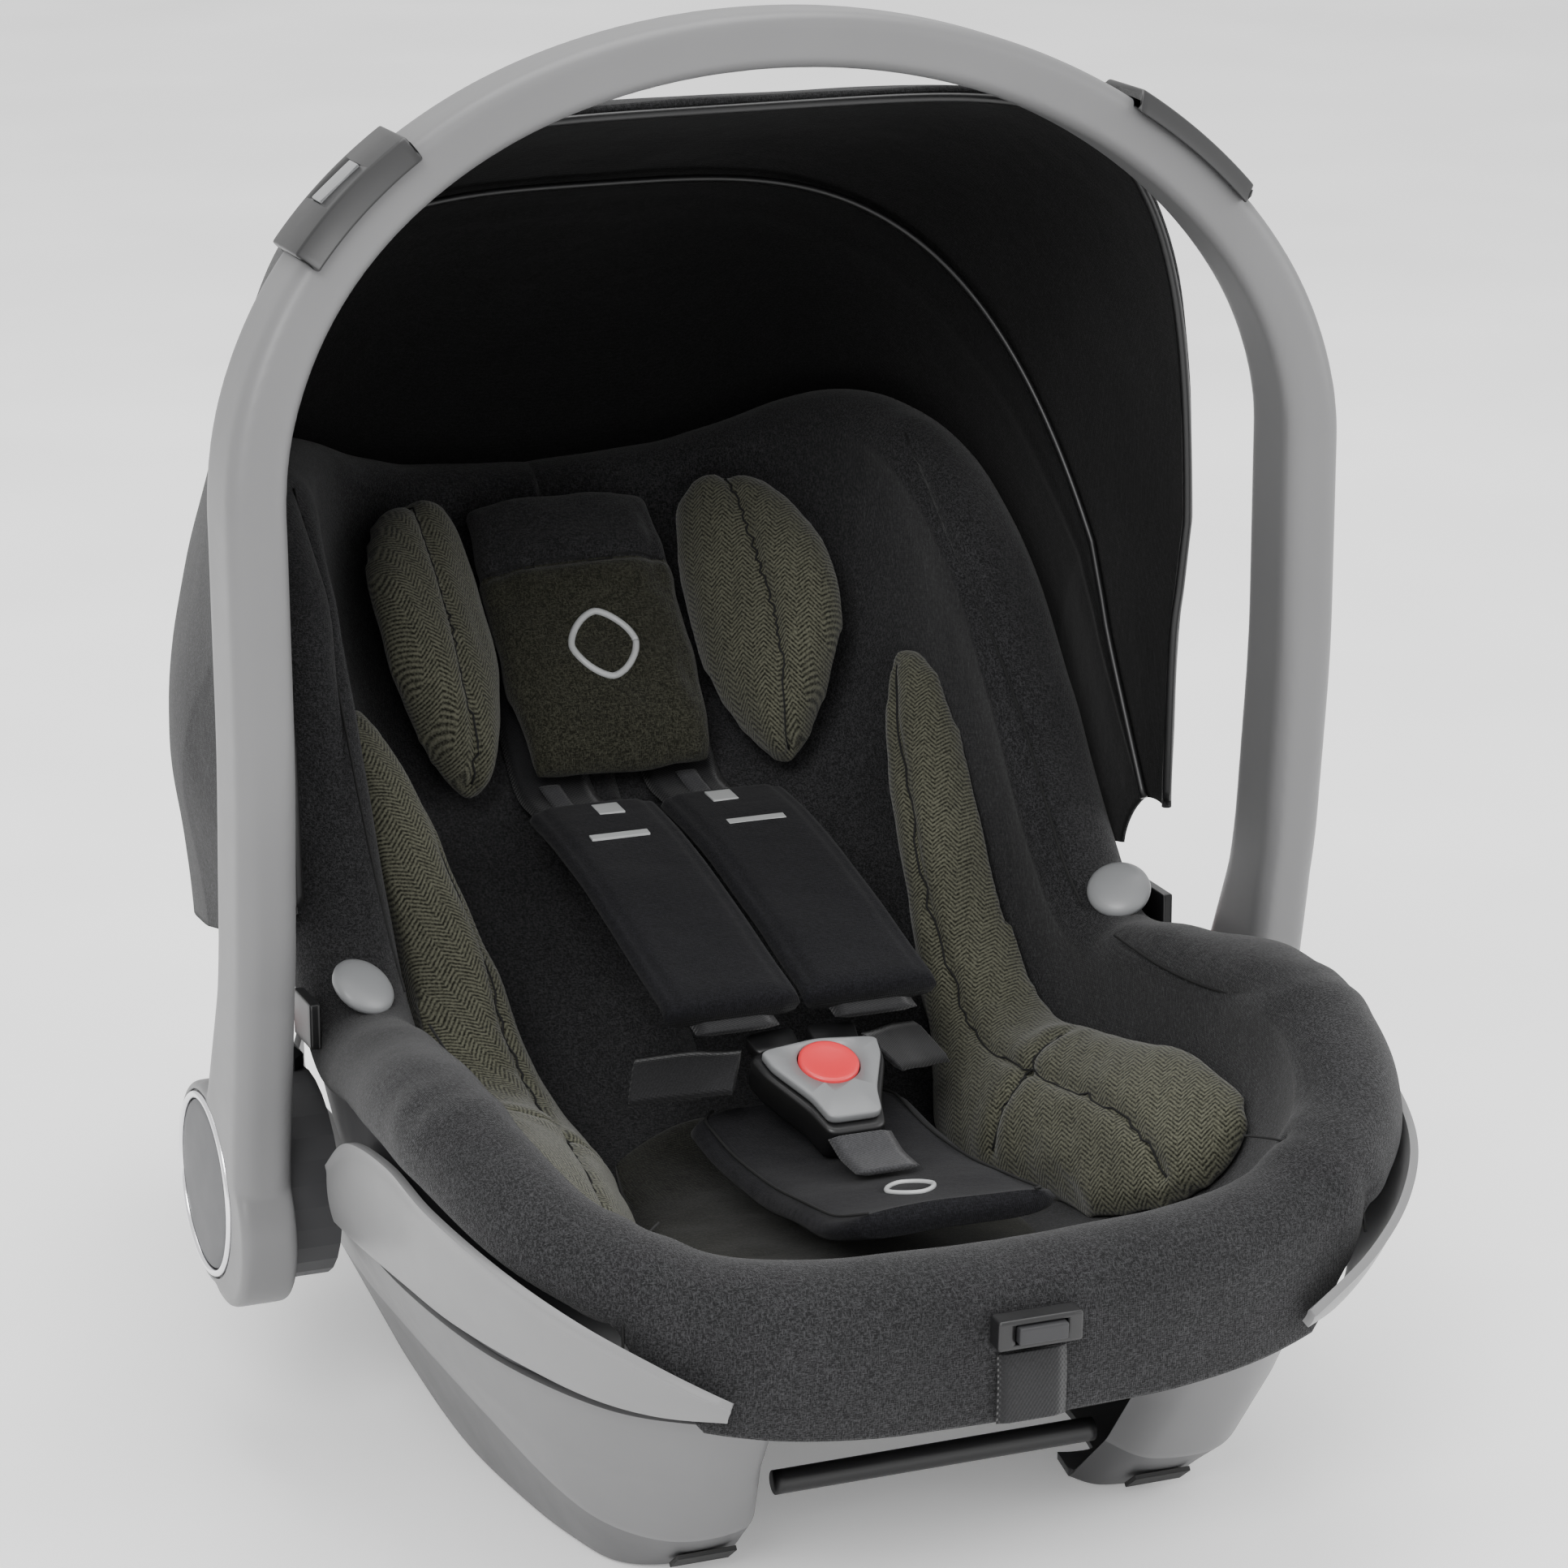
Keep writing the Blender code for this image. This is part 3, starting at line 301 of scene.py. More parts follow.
def herringbone(name, dark, light, turn, column=0.0050, rib=0.0021, sheen=0.2):
    """Herringbone twill: ribs that slant one way and then the other in columns, over flecked yarn."""
    n = Nodes(name)
    place = n.place()
    turned = n.add("ShaderNodeMapping", vector_type="POINT")
    turned.inputs["Rotation"].default_value = turn
    n.link(place, turned.inputs["Vector"])
    split = n.add("ShaderNodeSeparateXYZ")
    n.link(turned.outputs["Vector"], split.inputs[0])
    zigzag = n.maths("PINGPONG", split.outputs[0], column)
    slope = n.maths("ADD", split.outputs[1], zigzag)
    ribs = n.maths("SINE", n.maths("MULTIPLY", slope, 2 * math.pi / rib))
    ribs = n.maths("MULTIPLY_ADD", ribs, 0.5)
    ribs.node.inputs[2].default_value = 0.5
    fleck = n.noise(1000.0, 2.0)
    both = n.maths("ADD", n.maths("MULTIPLY", ribs, 0.36), n.maths("MULTIPLY", fleck, 0.90))
    n.worn_colour(both, dark, light, (0.40, 0.62, 0.84), 18.0, 0.88, 1.08)
    return n.cloth(both, 0.6, n.bump(n.noise(60.0, 3.0), 0.20, 0.003), sheen)


def webbing(name, colour, rib=0.0016):
    """Tight woven strap: fine ribs across it and small flecks."""
    n = Nodes(name)
    place = n.place()
    split = n.add("ShaderNodeSeparateXYZ")
    n.link(place, split.inputs[0])
    across = n.maths("SINE", n.maths("MULTIPLY", split.outputs[0], 2 * math.pi / rib))
    length = n.maths("ADD", split.outputs[1], split.outputs[2])
    along = n.maths("SINE", n.maths("MULTIPLY", length, 2 * math.pi / (rib * 1.5)))
    weave = n.maths("MULTIPLY", across, along)
    fleck = n.noise(1500.0, 2.0)
    tint = n.ramp(fleck, [(0.35, shade(colour, 0.7)), (0.7, shade(colour, 1.5))])
    n.link(tint, n.shader.inputs["Base Color"])
    n.link(n.bump(n.maths("MULTIPLY_ADD", weave, 0.4), 0.5, 0.0004), n.shader.inputs["Normal"])
    n.set(Roughness=0.7, Sheen_Weight=0.15, Specular_IOR_Level=0.3)
    return n.made


MATS = {
    "grey": material("satin_grey_plastic", (0.150, 0.150, 0.152), 0.45, coat=0.08),
    "trim": material("wing_grey_plastic", (0.185, 0.185, 0.187), 0.40, coat=0.10),
    # a darker copy of the grey plastic: painted shade for the base's lower panel below its crease
    "grey_painted_shade": material("grey_plastic_painted_shade", (0.085, 0.085, 0.087), 0.50),
    "dark": material("dark_plastic", (0.020, 0.020, 0.022), 0.55),
    "black": material("black_plastic", (0.007, 0.007, 0.0075), 0.42, coat=0.1),
    "disc": material("hub_disc_plastic", (0.050, 0.051, 0.055), 0.50, coat=0.0),
    "light": material("light_plastic", (0.235, 0.24, 0.245), 0.38, coat=0.15),
    "red": material("red_plastic", (0.86, 0.040, 0.055), 0.35, coat=0.3),
    "rubber": material("rubber", (0.022, 0.022, 0.022), 0.8),
    "steel": material("steel", (0.55, 0.56, 0.58), 0.3, metallic=1.0),
    "chrome": material("chrome", (0.86, 0.86, 0.88), 0.16, metallic=1.0),
    "foam": material("foam", (0.7, 0.7, 0.71), 0.9),
    "charcoal": melange("charcoal_melange", (0.0085, 0.0085, 0.009), (0.042, 0.042, 0.044), 1900.0, 0.45,
                        0.12),
    "olive": herringbone("olive_herringbone_left", (0.012, 0.012, 0.008), (0.115, 0.115, 0.083),
                         (math.radians(-40), math.radians(35), math.radians(20))),
    "olive_r": herringbone("olive_herringbone_right", (0.012, 0.012, 0.008), (0.115, 0.115, 0.083),
                           (math.radians(-40), math.radians(-35), math.radians(-20))),
    "head": melange("olive_melange", (0.011, 0.011, 0.007), (0.062, 0.062, 0.044), 1700.0, 0.5, 0.15),
    "pad": melange("black_knit", (0.0045, 0.0045, 0.0055), (0.014, 0.014, 0.017), 2000.0, 0.35, 0.06),
    "web": webbing("black_webbing", (0.009, 0.009, 0.010)),
    "web_grey": webbing("grey_webbing", (0.038, 0.038, 0.041)),
    "hood": melange("hood_cloth", (0.012, 0.012, 0.0125), (0.040, 0.040, 0.042), 1900.0, 0.4, 0.12),
    "lining": melange("hood_lining", (0.004, 0.004, 0.004), (0.012, 0.012, 0.0125), 1900.0, 0.3, 0.05),
    "thread": material("seam_thread", (0.008, 0.008, 0.008), 0.9),
    "badge": material("badge_satin", (0.48, 0.49, 0.49), 0.35, coat=0.2),
    "olive_dark": melange("seat_melange", (0.008, 0.008, 0.006), (0.036, 0.036, 0.028), 1700.0, 0.5, 0.12),
}


# ---------------------------------------------------------------- shape helpers
def spline(points, t):
    """Catmull-Rom through the points at each t from 0 to 1, as an array of rows."""
    p = np.asarray(points, float)
    t = np.clip(np.atleast_1d(np.asarray(t, float)), 0, 1) * (len(p) - 1)
    i = np.minimum(t.astype(int), len(p) - 2)
    u = (t - i)[:, None]
    a, b = p[np.maximum(i - 1, 0)], p[i]
    c, d = p[i + 1], p[np.minimum(i + 2, len(p) - 1)]
    return 0.5 * (2 * b + (c - a) * u + (2 * a - 5 * b + 4 * c - d) * u ** 2
                  + (3 * b - a - 3 * c + d) * u ** 3)


def unit(v):
    return v / np.maximum(np.linalg.norm(v, axis=-1, keepdims=True), 1e-12)


def linked(name, mesh, mats=()):
    """Adds a smooth-shaded mesh to the scene as an object."""
    for mat in mats if isinstance(mats, (list, tuple)) else [mats]:
        mesh.materials.append(MATS[mat])
    mesh.shade_smooth()
    obj = bpy.data.objects.new(name, mesh)
    bpy.context.scene.collection.objects.link(obj)
    return obj


def edit(mesh, work):
    """Runs work on a mesh as a bmesh."""
    bm = bmesh.new()
    bm.from_mesh(mesh)
    work(bm)
    bm.to_mesh(mesh)
    bm.free()


def face_out(bm):
    bmesh.ops.recalc_face_normals(bm, faces=bm.faces)


def weld(bm):
    bmesh.ops.remove_doubles(bm, verts=bm.verts, dist=1e-6)
    face_out(bm)


def face_as(obj, score):
    """Turns an open surface over if most of it faces away, by each face's score."""
    def work(bm):
        bm.normal_update()
        if sum(score(f) * f.calc_area() for f in bm.faces) < 0:
            bmesh.ops.reverse_faces(bm, faces=bm.faces)
    edit(obj.data, work)


def to_object(name, points, faces, mat):
    mesh = bpy.data.meshes.new(name)
    mesh.from_pydata([tuple(map(float, p)) for p in points], [], [tuple(map(int, f)) for f in faces])
    mesh.validate()
    edit(mesh, face_out)
    return linked(name, mesh, mat)


def grid_faces(rows, cols, close_rows=False, close_cols=False):
    i, j = np.meshgrid(np.arange(rows if close_rows else rows - 1),
                       np.arange(cols if close_cols else cols - 1), indexing="ij")
    k, m = (i + 1) % rows, (j + 1) % cols
    return np.stack([i * cols + j, i * cols + m, k * cols + m, k * cols + j], -1).reshape(-1, 4)


def sheet_object(name, grid, mat, thickness=0.0, flip=False):
    """A surface from a grid of points, thickened outwards."""
    rows, cols = grid.shape[:2]
    faces = grid_faces(rows, cols)
    if flip:
        faces = faces[:, ::-1]
    mesh = bpy.data.meshes.new(name)
    mesh.from_pydata([tuple(p) for p in grid.reshape(-1, 3).tolist()], [], faces.tolist())
    obj = linked(name, mesh, mat)
    if thickness:
        modifier(obj, "SOLIDIFY", thickness=thickness, offset=1.0)
    return obj


def whole(grid):
    """A half surface and its mirror image, closed round the middle line."""
    grid[0, :, 0] = 0
    grid[-1, :, 0] = 0
    return np.concatenate([grid, grid[1:-1][::-1] * MIRROR, grid[:1]], 0)


def loft(name, rings, mat):
    """A closed body skinned over closed rings."""
    rings = np.asarray(rings, float)
    rows, cols = rings.shape[:2]
    faces = [tuple(f) for f in grid_faces(rows, cols, False, True)]
    faces += [tuple(range(cols - 1, -1, -1)), tuple(range((rows - 1) * cols, rows * cols))]
    return to_object(name, rings.reshape(-1, 3), faces, mat)


def normals_of(grid):
    ds = np.gradient(grid, axis=0)
    dq = np.gradient(grid, axis=1)
    return unit(np.cross(dq, ds))


def distance_to(points, line):
    """Distance of each point from a polyline, worked out segment by segment."""
    flat = points.reshape(-1, 3)
    best = np.full(len(flat), 1e9)
    for a, b in zip(line[:-1], line[1:]):
        ab = b - a
        t = np.clip(((flat - a) @ ab) / max(ab @ ab, 1e-12), 0, 1)
        best = np.minimum(best, np.linalg.norm(flat - a - t[:, None] * ab, axis=1))
    return best.reshape(points.shape[:-1])


def waves(points, scale, seed=0.0):
    """Smooth uneven waves over space, about -1 to 1."""
    x, y, z = np.moveaxis(points * scale, -1, 0)
    return (np.sin(x * 1.7 + 2.1 * np.sin(y * 0.9 + seed) + seed)
            + np.sin(y * 1.3 + 1.7 * np.sin(z * 1.1 + 1.3 * seed) + 2.0)
            + np.sin(z * 1.9 + 1.9 * np.sin(x * 0.8 + seed) + 4.0)) / 3


def apply_modifiers(obj):
    graph = bpy.context.evaluated_depsgraph_get()
    mesh = bpy.data.meshes.new_from_object(obj.evaluated_get(graph))
    obj.modifiers.clear()
    obj.data = mesh
    return obj


def modifier(obj, kind, **given):
    made = obj.modifiers.new(kind.lower(), kind)
    for key, value in given.items():
        setattr(made, key, value)
    return made


def thin_tube(name, path, radius, mat, sides=8):
    path = np.asarray(path, float)
    ahead = unit(np.gradient(path, axis=0))
    side = unit(np.cross(ahead, (0.3, 0.2, 0.93)))
    up = np.cross(ahead, side)
    a = np.arange(sides) * 2 * math.pi / sides
    return loft(name, path[:, None] + radius * (np.cos(a)[None, :, None] * side[:, None]
                                                + np.sin(a)[None, :, None] * up[:, None]), mat)


def vertex_data(mesh):
    """Places and normals of a mesh's vertices."""
    found = []
    for key in ("co", "normal"):
        values = np.empty(len(mesh.vertices) * 3)
        mesh.vertices.foreach_get(key, values)
        found.append(values.reshape(-1, 3))
    return found


def surface_tree(obj):
    return BVHTree.FromPolygons([v.co for v in obj.data.vertices], [p.vertices for p in obj.data.polygons])


def settle(obj):
    """Moves a finished piece from the seat's own measures to the frame's origin."""
    obj.data.transform(Matrix.Translation((0, -SHIFT, 0)))


def finish_piece(obj, body, nodes=()):
    settle(obj)
    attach(obj, body)
    if nodes:
        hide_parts(*nodes)
    return obj


# ---------------------------------------------------------------- the bucket's surfaces
def inward_at(s):
    """The level direction from the rim towards the inside of the seat."""
    step = spline(RIM, s + 0.01) - spline(RIM, s - 0.01)
    level = np.stack([-step[:, 1], step[:, 0], np.zeros(len(step))], -1)
    level[s <= 0.0] = (0, 1, 0)
    level[s >= 1.0] = (0, -1, 0)
    return unit(level)


def rim_offset(s, inset, drop):
    """Points beside the rim: inset towards the inside and drop below its crest."""
    p = spline(RIM, s) + inward_at(s) * inset
    p[:, 0] = np.maximum(p[:, 0], 0)
    p[:, 2] = spline(RIM, s)[:, 2] - drop
    return p


def bowl(s, q, middle, inset, drop, power, fullness):
    """The bowl from the middle line (q = 0) to the rim (q = 1), for arrays of s and q."""
    s, q = np.broadcast_arrays(np.asarray(s, float), np.asarray(q, float))
    flat = s.ravel()
    mid = spline(middle, flat)
    edge = rim_offset(flat, inset, drop)
    k = q.ravel()
    x = edge[:, 0] * np.sin(np.clip(k, 0, 1) * math.pi / 2) ** fullness
    y = mid[:, 0] + (edge[:, 1] - mid[:, 0]) * k ** 2
    z = mid[:, 1] + (edge[:, 2] - mid[:, 1]) * k ** power
    return np.stack([x, y, z], -1).reshape(*s.shape, 3)


def seat(s, q):
    return bowl(s, q, SEAT_MID, RIM_ROLL, 0.008, 3.0, 0.9)


def seat_normal(s, q):
    e = 0.004
    ds = seat(np.minimum(s + e, 1), q) - seat(np.maximum(s - e, 0), q)
    dq = seat(s, np.minimum(q + e, 1)) - seat(s, np.maximum(q - e, 0))
    n = np.cross(dq, ds)
    weak = np.linalg.norm(n, axis=-1) < 1e-9
    n[weak] = np.stack([0 * ds[..., 0], -ds[..., 2], ds[..., 1]], -1)[weak]
    return unit(n)


def both_sides(line):
    """A seam on the +X side and its mirror image."""
    line = np.asarray(line, float)
    return [line, line * MIRROR]


RIM_SEAMS = [
    # the long seam along the side's flat band, the edge of the inner bucket, and the front corner's loop
    [(0.141, 0.160, 0.352), (0.144, 0.109, 0.309), (0.147, 0.079, 0.28), (0.149, 0.051, 0.25),
     (0.1495, 0.027, 0.220), (0.1495, 0.006, 0.196), (0.1500, -0.012, 0.182)],
    [(0.150, -0.045, 0.178), (0.153, -0.085, 0.176), (0.158, -0.125, 0.178), (0.166, -0.155, 0.183),
     (0.178, -0.170, 0.186), (0.190, -0.168, 0.187)],
    [(0.120, -0.226, 0.156), (0.130, -0.240, 0.157), (0.141, -0.255, 0.153), (0.148, -0.266, 0.143),
     (0.150, -0.270, 0.128)],
]


def hem_at(s):
    apron = np.clip((0.20 - s) / 0.05, 0, 1)
    return 0.020 + 0.034 * apron + 0.02 * np.clip((s - 0.6) / 0.4, 0, 1)


def make_cover():
    """The charcoal cover: bucket lining, padded rim and the skirt over the front and the sides."""
    half = np.linspace(0, 1, 241)
    q = np.linspace(0, 1, 64) ** 0.85
    inner = seat(half[:, None], q[None, :])
    # the padded roll and the skirt, as insets and drops from the rim's crest
    knots = np.array([(0.030, 0.008), (0.0265, 0.0020), (0.0205, -0.0030), (0.0125, -0.0046),
                      (0.0045, -0.0028), (-0.0015, 0.0015), (-0.0055, 0.0080), (-0.0070, 0.0150)])
    roll = spline(knots, np.linspace(0, 1, 44)[1:])
    rows = []
    for inset, drop in roll:
        rows.append(rim_offset(half, inset, drop))
    hem = hem_at(half)
    for t in np.linspace(0, 1, 30)[1:]:
        tuck = -0.0070 + 0.0022 * t ** 3
        rows.append(rim_offset(half, tuck, 0.015 + (hem - 0.015) * t))
    grid = np.concatenate([inner, np.stack(rows, 1)], 1)
    grid[0, :, 0] = 0
    grid[-1, :, 0] = 0
    # soft fullness, seams pressed into it and a few drawn wrinkles
    up = normals_of(grid)
    across = np.linspace(0, 1, grid.shape[1])[None, :]
    crest = np.exp(-((across - 0.60) / 0.10) ** 2)
    fullness = 0.0012 * waves(grid, 26.0) + 0.0006 * waves(grid, 85.0, 1.3)
    fullness = fullness * (0.35 + 0.65 * crest)
    for seam in RIM_SEAMS:
        away = distance_to(grid, np.array(seam))
        fullness = (fullness - 0.0022 * np.exp(-(away / 0.0022) ** 2)
                    + 0.0012 * np.exp(-((away - 0.010) / 0.007) ** 2))
    inside = across < 0.47
    fullness = np.where(inside, fullness * 0.6 - 0.0004, fullness)
    cover = sheet_object("cover", whole(grid + up * fullness[..., None]), "charcoal", 0.0028, flip=True)
    cover.data.validate()
    edit(cover.data, weld)
    finish_piece(cover, "shell", ["seat_cover", "seat_cover_back"])
    for i, seam in enumerate(RIM_SEAMS):
        for side, line in zip("LR", both_sides(seam)):
            path = spline(line, np.linspace(0, 1, 40))
            finish_piece(thin_tube(f"cover_seam_{i}_{side}", path, 0.00055, "thread", 6), "shell",
                         ())


# ---------------------------------------------------------------- padded inserts
def pad_places(nu, nv, soft=0.0):
    """Grids u and v over a pad, and the same with the corners of its outline rounded off."""
    u = np.sin(np.linspace(-1, 1, nu) * math.pi / 2)[:, None]
    v = np.sin(np.linspace(-1, 1, nv) * math.pi / 2)[None, :]
    u, v = np.broadcast_arrays(u, v)
    return u, v, u * np.sqrt(1 - soft * v ** 2), v * np.sqrt(1 - soft * u ** 2)


def swell(u, v, power=2.6):
    """Share of a pad's full thickness: a quarter at its edge, all of it in the middle."""
    dome = (1 - np.abs(u) ** power) * (1 - np.abs(v) ** power)
    return 0.25 + 0.75 * np.maximum(dome, 0) ** 0.5


def seat_place(s_range, q_range, side, taper, a, b):
    """Where places a and b, from -1 to 1, of a pad on the bucket lie, as s and q."""
    t = 0.5 + a / 2
    near = q_range[0] + taper * np.maximum(0, (t - 0.45) / 0.55) ** 1.5
    q = near + (q_range[1] - near) * (0.5 + b / 2) if side else np.abs(b) * q_range[1]
    return s_range[0] + (s_range[1] - s_range[0]) * t, q


def seat_pad(s_range, q_range, thickness, lift, side, nu, nv, taper=0.0, soft=0.3):
    """Upper and lower surfaces of a domed pad lying on the bucket."""
    u, v, a, b = pad_places(nu, nv, soft)
    s, q = seat_place(s_range, q_range, side, taper, a, b)
    base, up = seat(s, q), seat_normal(s, q)
    top = base + up * (lift + thickness * swell(u, v))[..., None]
    low = base + up * lift
    for surface in (top, low):
        surface[..., 0] = np.maximum(surface[..., 0], 0) * (side or np.where(b >= 0, 1.0, -1.0))
    return top, low


def head_point(x, along_back, lift, high):
    """A point of the headrest: flat in the middle, its wings curving forwards off the backrest's slope."""
    k = np.clip((np.abs(x) - HEAD_FLAT) / (HEAD_HALF - HEAD_FLAT), 0, 1)
    lean = math.radians(48) * k
    rise = lift + HEAD_RISE * k ** 3 + high * np.cos(lean)
    p = HEAD_FOOT + along_back[..., None] * HEAD_UP + rise[..., None] * HEAD_OUT
    p[..., 0] = x - np.sign(x) * high * np.sin(lean)
    return p


def wing_place(a, b):
    """Where places a and b of a headrest wing lie: across, up the slope and how far it lifts off."""
    foot, crown = np.maximum(-a, 0) ** 2, np.maximum(a, 0) ** 3
    near = HEAD_FLAT + 0.001 + 0.020 * foot + 0.004 * crown
    far = HEAD_HALF - 0.026 * foot - 0.020 * crown
    along_back = (HEAD_LONG - 0.006) * (0.5 + a / 2) - 0.004
    return near + (far - near) * (0.5 + b / 2), along_back, 0.0115 + 0.014 * crown


def closed_pad(name, top, low, mat):
    """A closed body between two grids of the same size."""
    rows, cols = top.shape[:2]
    count = rows * cols
    faces = [tuple(f) for f in grid_faces(rows, cols)]
    faces += [tuple(f[::-1] + count) for f in grid_faces(rows, cols)]
    rim = [(i, 0) for i in range(rows - 1)] + [(rows - 1, j) for j in range(cols - 1)]
    rim += [(i, cols - 1) for i in range(rows - 1, 0, -1)] + [(0, j) for j in range(cols - 1, 0, -1)]
    index = [i * cols + j for i, j in rim]
    for a, b in zip(index, index[1:] + index[:1]):
        faces.append((a, a + count, b + count, b))
    points = np.concatenate([top.reshape(-1, 3), low.reshape(-1, 3)])
    return to_object(name, points, faces, mat)


def inflate(obj, cap=0.006):
    """Remeshes a pad evenly and lets Cloth blow it up like filled fabric, each point moving at most cap."""
    modifier(obj, "REMESH", mode="VOXEL", voxel_size=0.005, use_smooth_shade=True)
    apply_modifiers(obj)
    start = vertex_data(obj.data)[0]
    cloth = modifier(obj, "CLOTH")
    cloth.settings.use_pressure = True
    cloth.settings.uniform_pressure_force = 4.0
    cloth.settings.effector_weights.gravity = 0
    cloth.settings.quality = 5
    cloth.settings.mass = 0.3
    cloth.point_cache.frame_start = 1
    cloth.point_cache.frame_end = CLOTH_FRAMES
    for f in range(1, CLOTH_FRAMES + 1):
        bpy.context.scene.frame_set(f)
    apply_modifiers(obj)
    bpy.context.scene.frame_set(1)
    step = vertex_data(obj.data)[0] - start
    far = np.linalg.norm(step, axis=1, keepdims=True)
    step = step * np.minimum(1, cap / np.maximum(far, 1e-9))
    obj.data.vertices.foreach_set("co", (start + step).ravel())
    return obj


def stitch(obj, seams=()):
    """Subdivides a pad once, presses its seams in and adds drawn wrinkles beside them."""
    modifier(obj, "SUBSURF", levels=1, render_levels=1)
    apply_modifiers(obj)
    co, up = vertex_data(obj.data)
    move = 0.0008 * (0.7 * waves(co, 48.0, 0.7) + 0.5 * waves(co, 120.0, 2.2))
    for seam in seams:
        away = distance_to(co, spline(seam, np.linspace(0, 1, 40)))
        move -= 0.0026 * np.exp(-(away / 0.0024) ** 2)
        move += 0.0010 * np.exp(-((away - 0.009) / 0.006) ** 2)
    obj.data.vertices.foreach_set("co", (co + up * move[:, None]).ravel())
    obj.data.shade_smooth()
    return obj


def lozenge(count):
    """The outline of the plain badges: a rounded lozenge, one unit from its middle to each corner."""
    turn = np.linspace(0, 2 * math.pi, count)
    c, s = np.cos(turn), np.sin(turn)
    return np.stack([c * np.abs(c) ** 0.25, s * np.abs(s) ** 0.25], -1)


def on_surface(obj, base, up, reach=0.12):
    """Base points moved out along up to the piece's surface."""
    tree = surface_tree(obj)
    found = []
    for p, n in zip(base, up):
        hit = tree.ray_cast(Vector(p + n * reach), Vector(-n), reach * 1.5)[0]
        if hit is not None:
            found.append(tuple(hit))
    return np.array(found)


def sewn(obj, lines, body):
    """Presses seams into a pad and lays a thread along each."""
    stitch(obj, lines)
    for i, line in enumerate(lines):
        tree = surface_tree(obj)
        laid = np.array([tuple(tree.find_nearest(Vector(p))[0]) for p in spline(line, np.linspace(0, 1, 60))])
        finish_piece(thin_tube(f"{obj.name}_seam_{i}", laid, 0.0005, "thread", 6), body, ())


def make_inserts():
    top, low = seat_pad((0.13, 0.60), (0, 0.27), 0.010, 0.003, 0, 61, 41)
    finish_piece(stitch(closed_pad("insert_cushion", top, low, "olive_dark")), "shell",
                 ["insert_seat_pad"])
    s_range, q_range, taper = (0.25, 0.745), (0.31, 0.90), 0.40
    seams = ((np.linspace(-0.30, -0.16, 24), np.linspace(-0.98, 0.98, 24)),
             (np.linspace(-0.97, 0.97, 50), 0.10 + 0.25 * np.sin(np.linspace(-1.2, 1.6, 50))))
    for side, letter in SIDES:
        mat = "olive" if side > 0 else "olive_r"
        top, low = seat_pad((0.253, 0.742), (0.315, 0.895), 0.034, 0.004, side, 61, 41, taper)
        pad = inflate(closed_pad("side_bolster_" + letter, top, low, mat))
        lines = []
        for a, b in seams:
            s, q = seat_place(s_range, q_range, side, taper, a, b)
            mirror = np.array([side, 1, 1])
            lines.append(on_surface(pad, seat(s, q) * mirror, seat_normal(s, q) * mirror))
        sewn(pad, lines, "shell")
        finish_piece(pad, "shell", ["body_bolster_" + letter])


def make_headrest():
    u, v, a, b = pad_places(45, 41, 0.10)
    x, t = b * (HEAD_FLAT - 0.0015), (HEAD_LONG - 0.002) * (0.5 + a / 2)
    surfaces = [head_point(x, t, 0.0118 + 0 * x, high) for high in (0.019 * swell(u, v, 5.0), 0 * x)]
    pad = inflate(closed_pad("headrest_cushion", *surfaces, ["head", "charcoal"]), cap=0.002)
    stitch(pad)
    line = np.linspace(-0.96, 0.96, 40) * (HEAD_FLAT - 0.0015)
    flat = head_point(line, 0 * line + HEAD_LONG * HEAD_BAND, 0 * line, 0 * line)
    band = on_surface(pad, flat, np.repeat(HEAD_OUT[None], 40, 0))
    sewn(pad, [band], "headrest")
    for face in pad.data.polygons:
        along_back = (np.array(face.center) - HEAD_FOOT) @ HEAD_UP
        face.material_index = 1 if along_back > HEAD_LONG * HEAD_BAND else 0
    across, along = lozenge(49).T
    spot = head_point(across * 0.0150, HEAD_LONG * 0.40 + along * 0.0165, 0 * across, 0 * across)
    ring = on_surface(pad, spot, np.repeat(HEAD_OUT[None], 49, 0))
    finish_piece(thin_tube("headrest_emblem", ring, 0.0016, "badge", 10), "headrest", ())
    finish_piece(pad, "headrest", ["headrest_pad"])
    for side, letter in SIDES:
        mat = "olive" if side > 0 else "olive_r"
        u, v, a, b = pad_places(51, 41, 0.25)
        x, t, lift = wing_place(a, b)
        surfaces = [head_point(x * side, t, lift + 0.0006, high) for high in (0.033 * swell(u, v), 0 * x)]
        pad = inflate(closed_pad("headrest_wing_" + letter, *surfaces, mat), cap=0.005)
        k = np.linspace(-0.96, 0.96, 50)
        x, t, lift = wing_place(k, 0.42 + 0 * k)
        base = head_point(x * side, t, lift, 0 * x)
        out = unit(head_point(x * side, t, lift, 0 * x + 0.01) - base)
        sewn(pad, [on_surface(pad, base, out)], "headrest")
        finish_piece(pad, "headrest", ["headrest_bolster_" + letter])


# ---------------------------------------------------------------- harness
def strap_rings(points, width, thickness, count, across=(1, 0, 0), sides=7):
    """Closed rings of a flat strap with rounded edges along a smooth path."""
    path = spline(points, np.linspace(0, 1, count))
    ahead = unit(np.gradient(path, axis=0))
    across = np.array(across, float)
    side = unit(across - (ahead @ across)[:, None] * ahead)
    up = np.cross(side, ahead)
    width = np.broadcast_to(np.asarray(width, float), (count,))
    thickness = np.broadcast_to(np.asarray(thickness, float), (count,))
    upper = [(a, (1 - abs(a) ** 6) ** 0.45) for a in np.linspace(-1, 1, sides)]
    profile = upper + [(a, -b) for a, b in upper[-2:0:-1]]
    return np.stack([path + side * (a * width / 2)[:, None] + up * (b * thickness / 2)[:, None]
                     for a, b in profile], 1)


def strap(name, points, width, thickness, mat, count, across=(1, 0, 0)):
    return loft(name, strap_rings(points, width, thickness, count, across), mat)


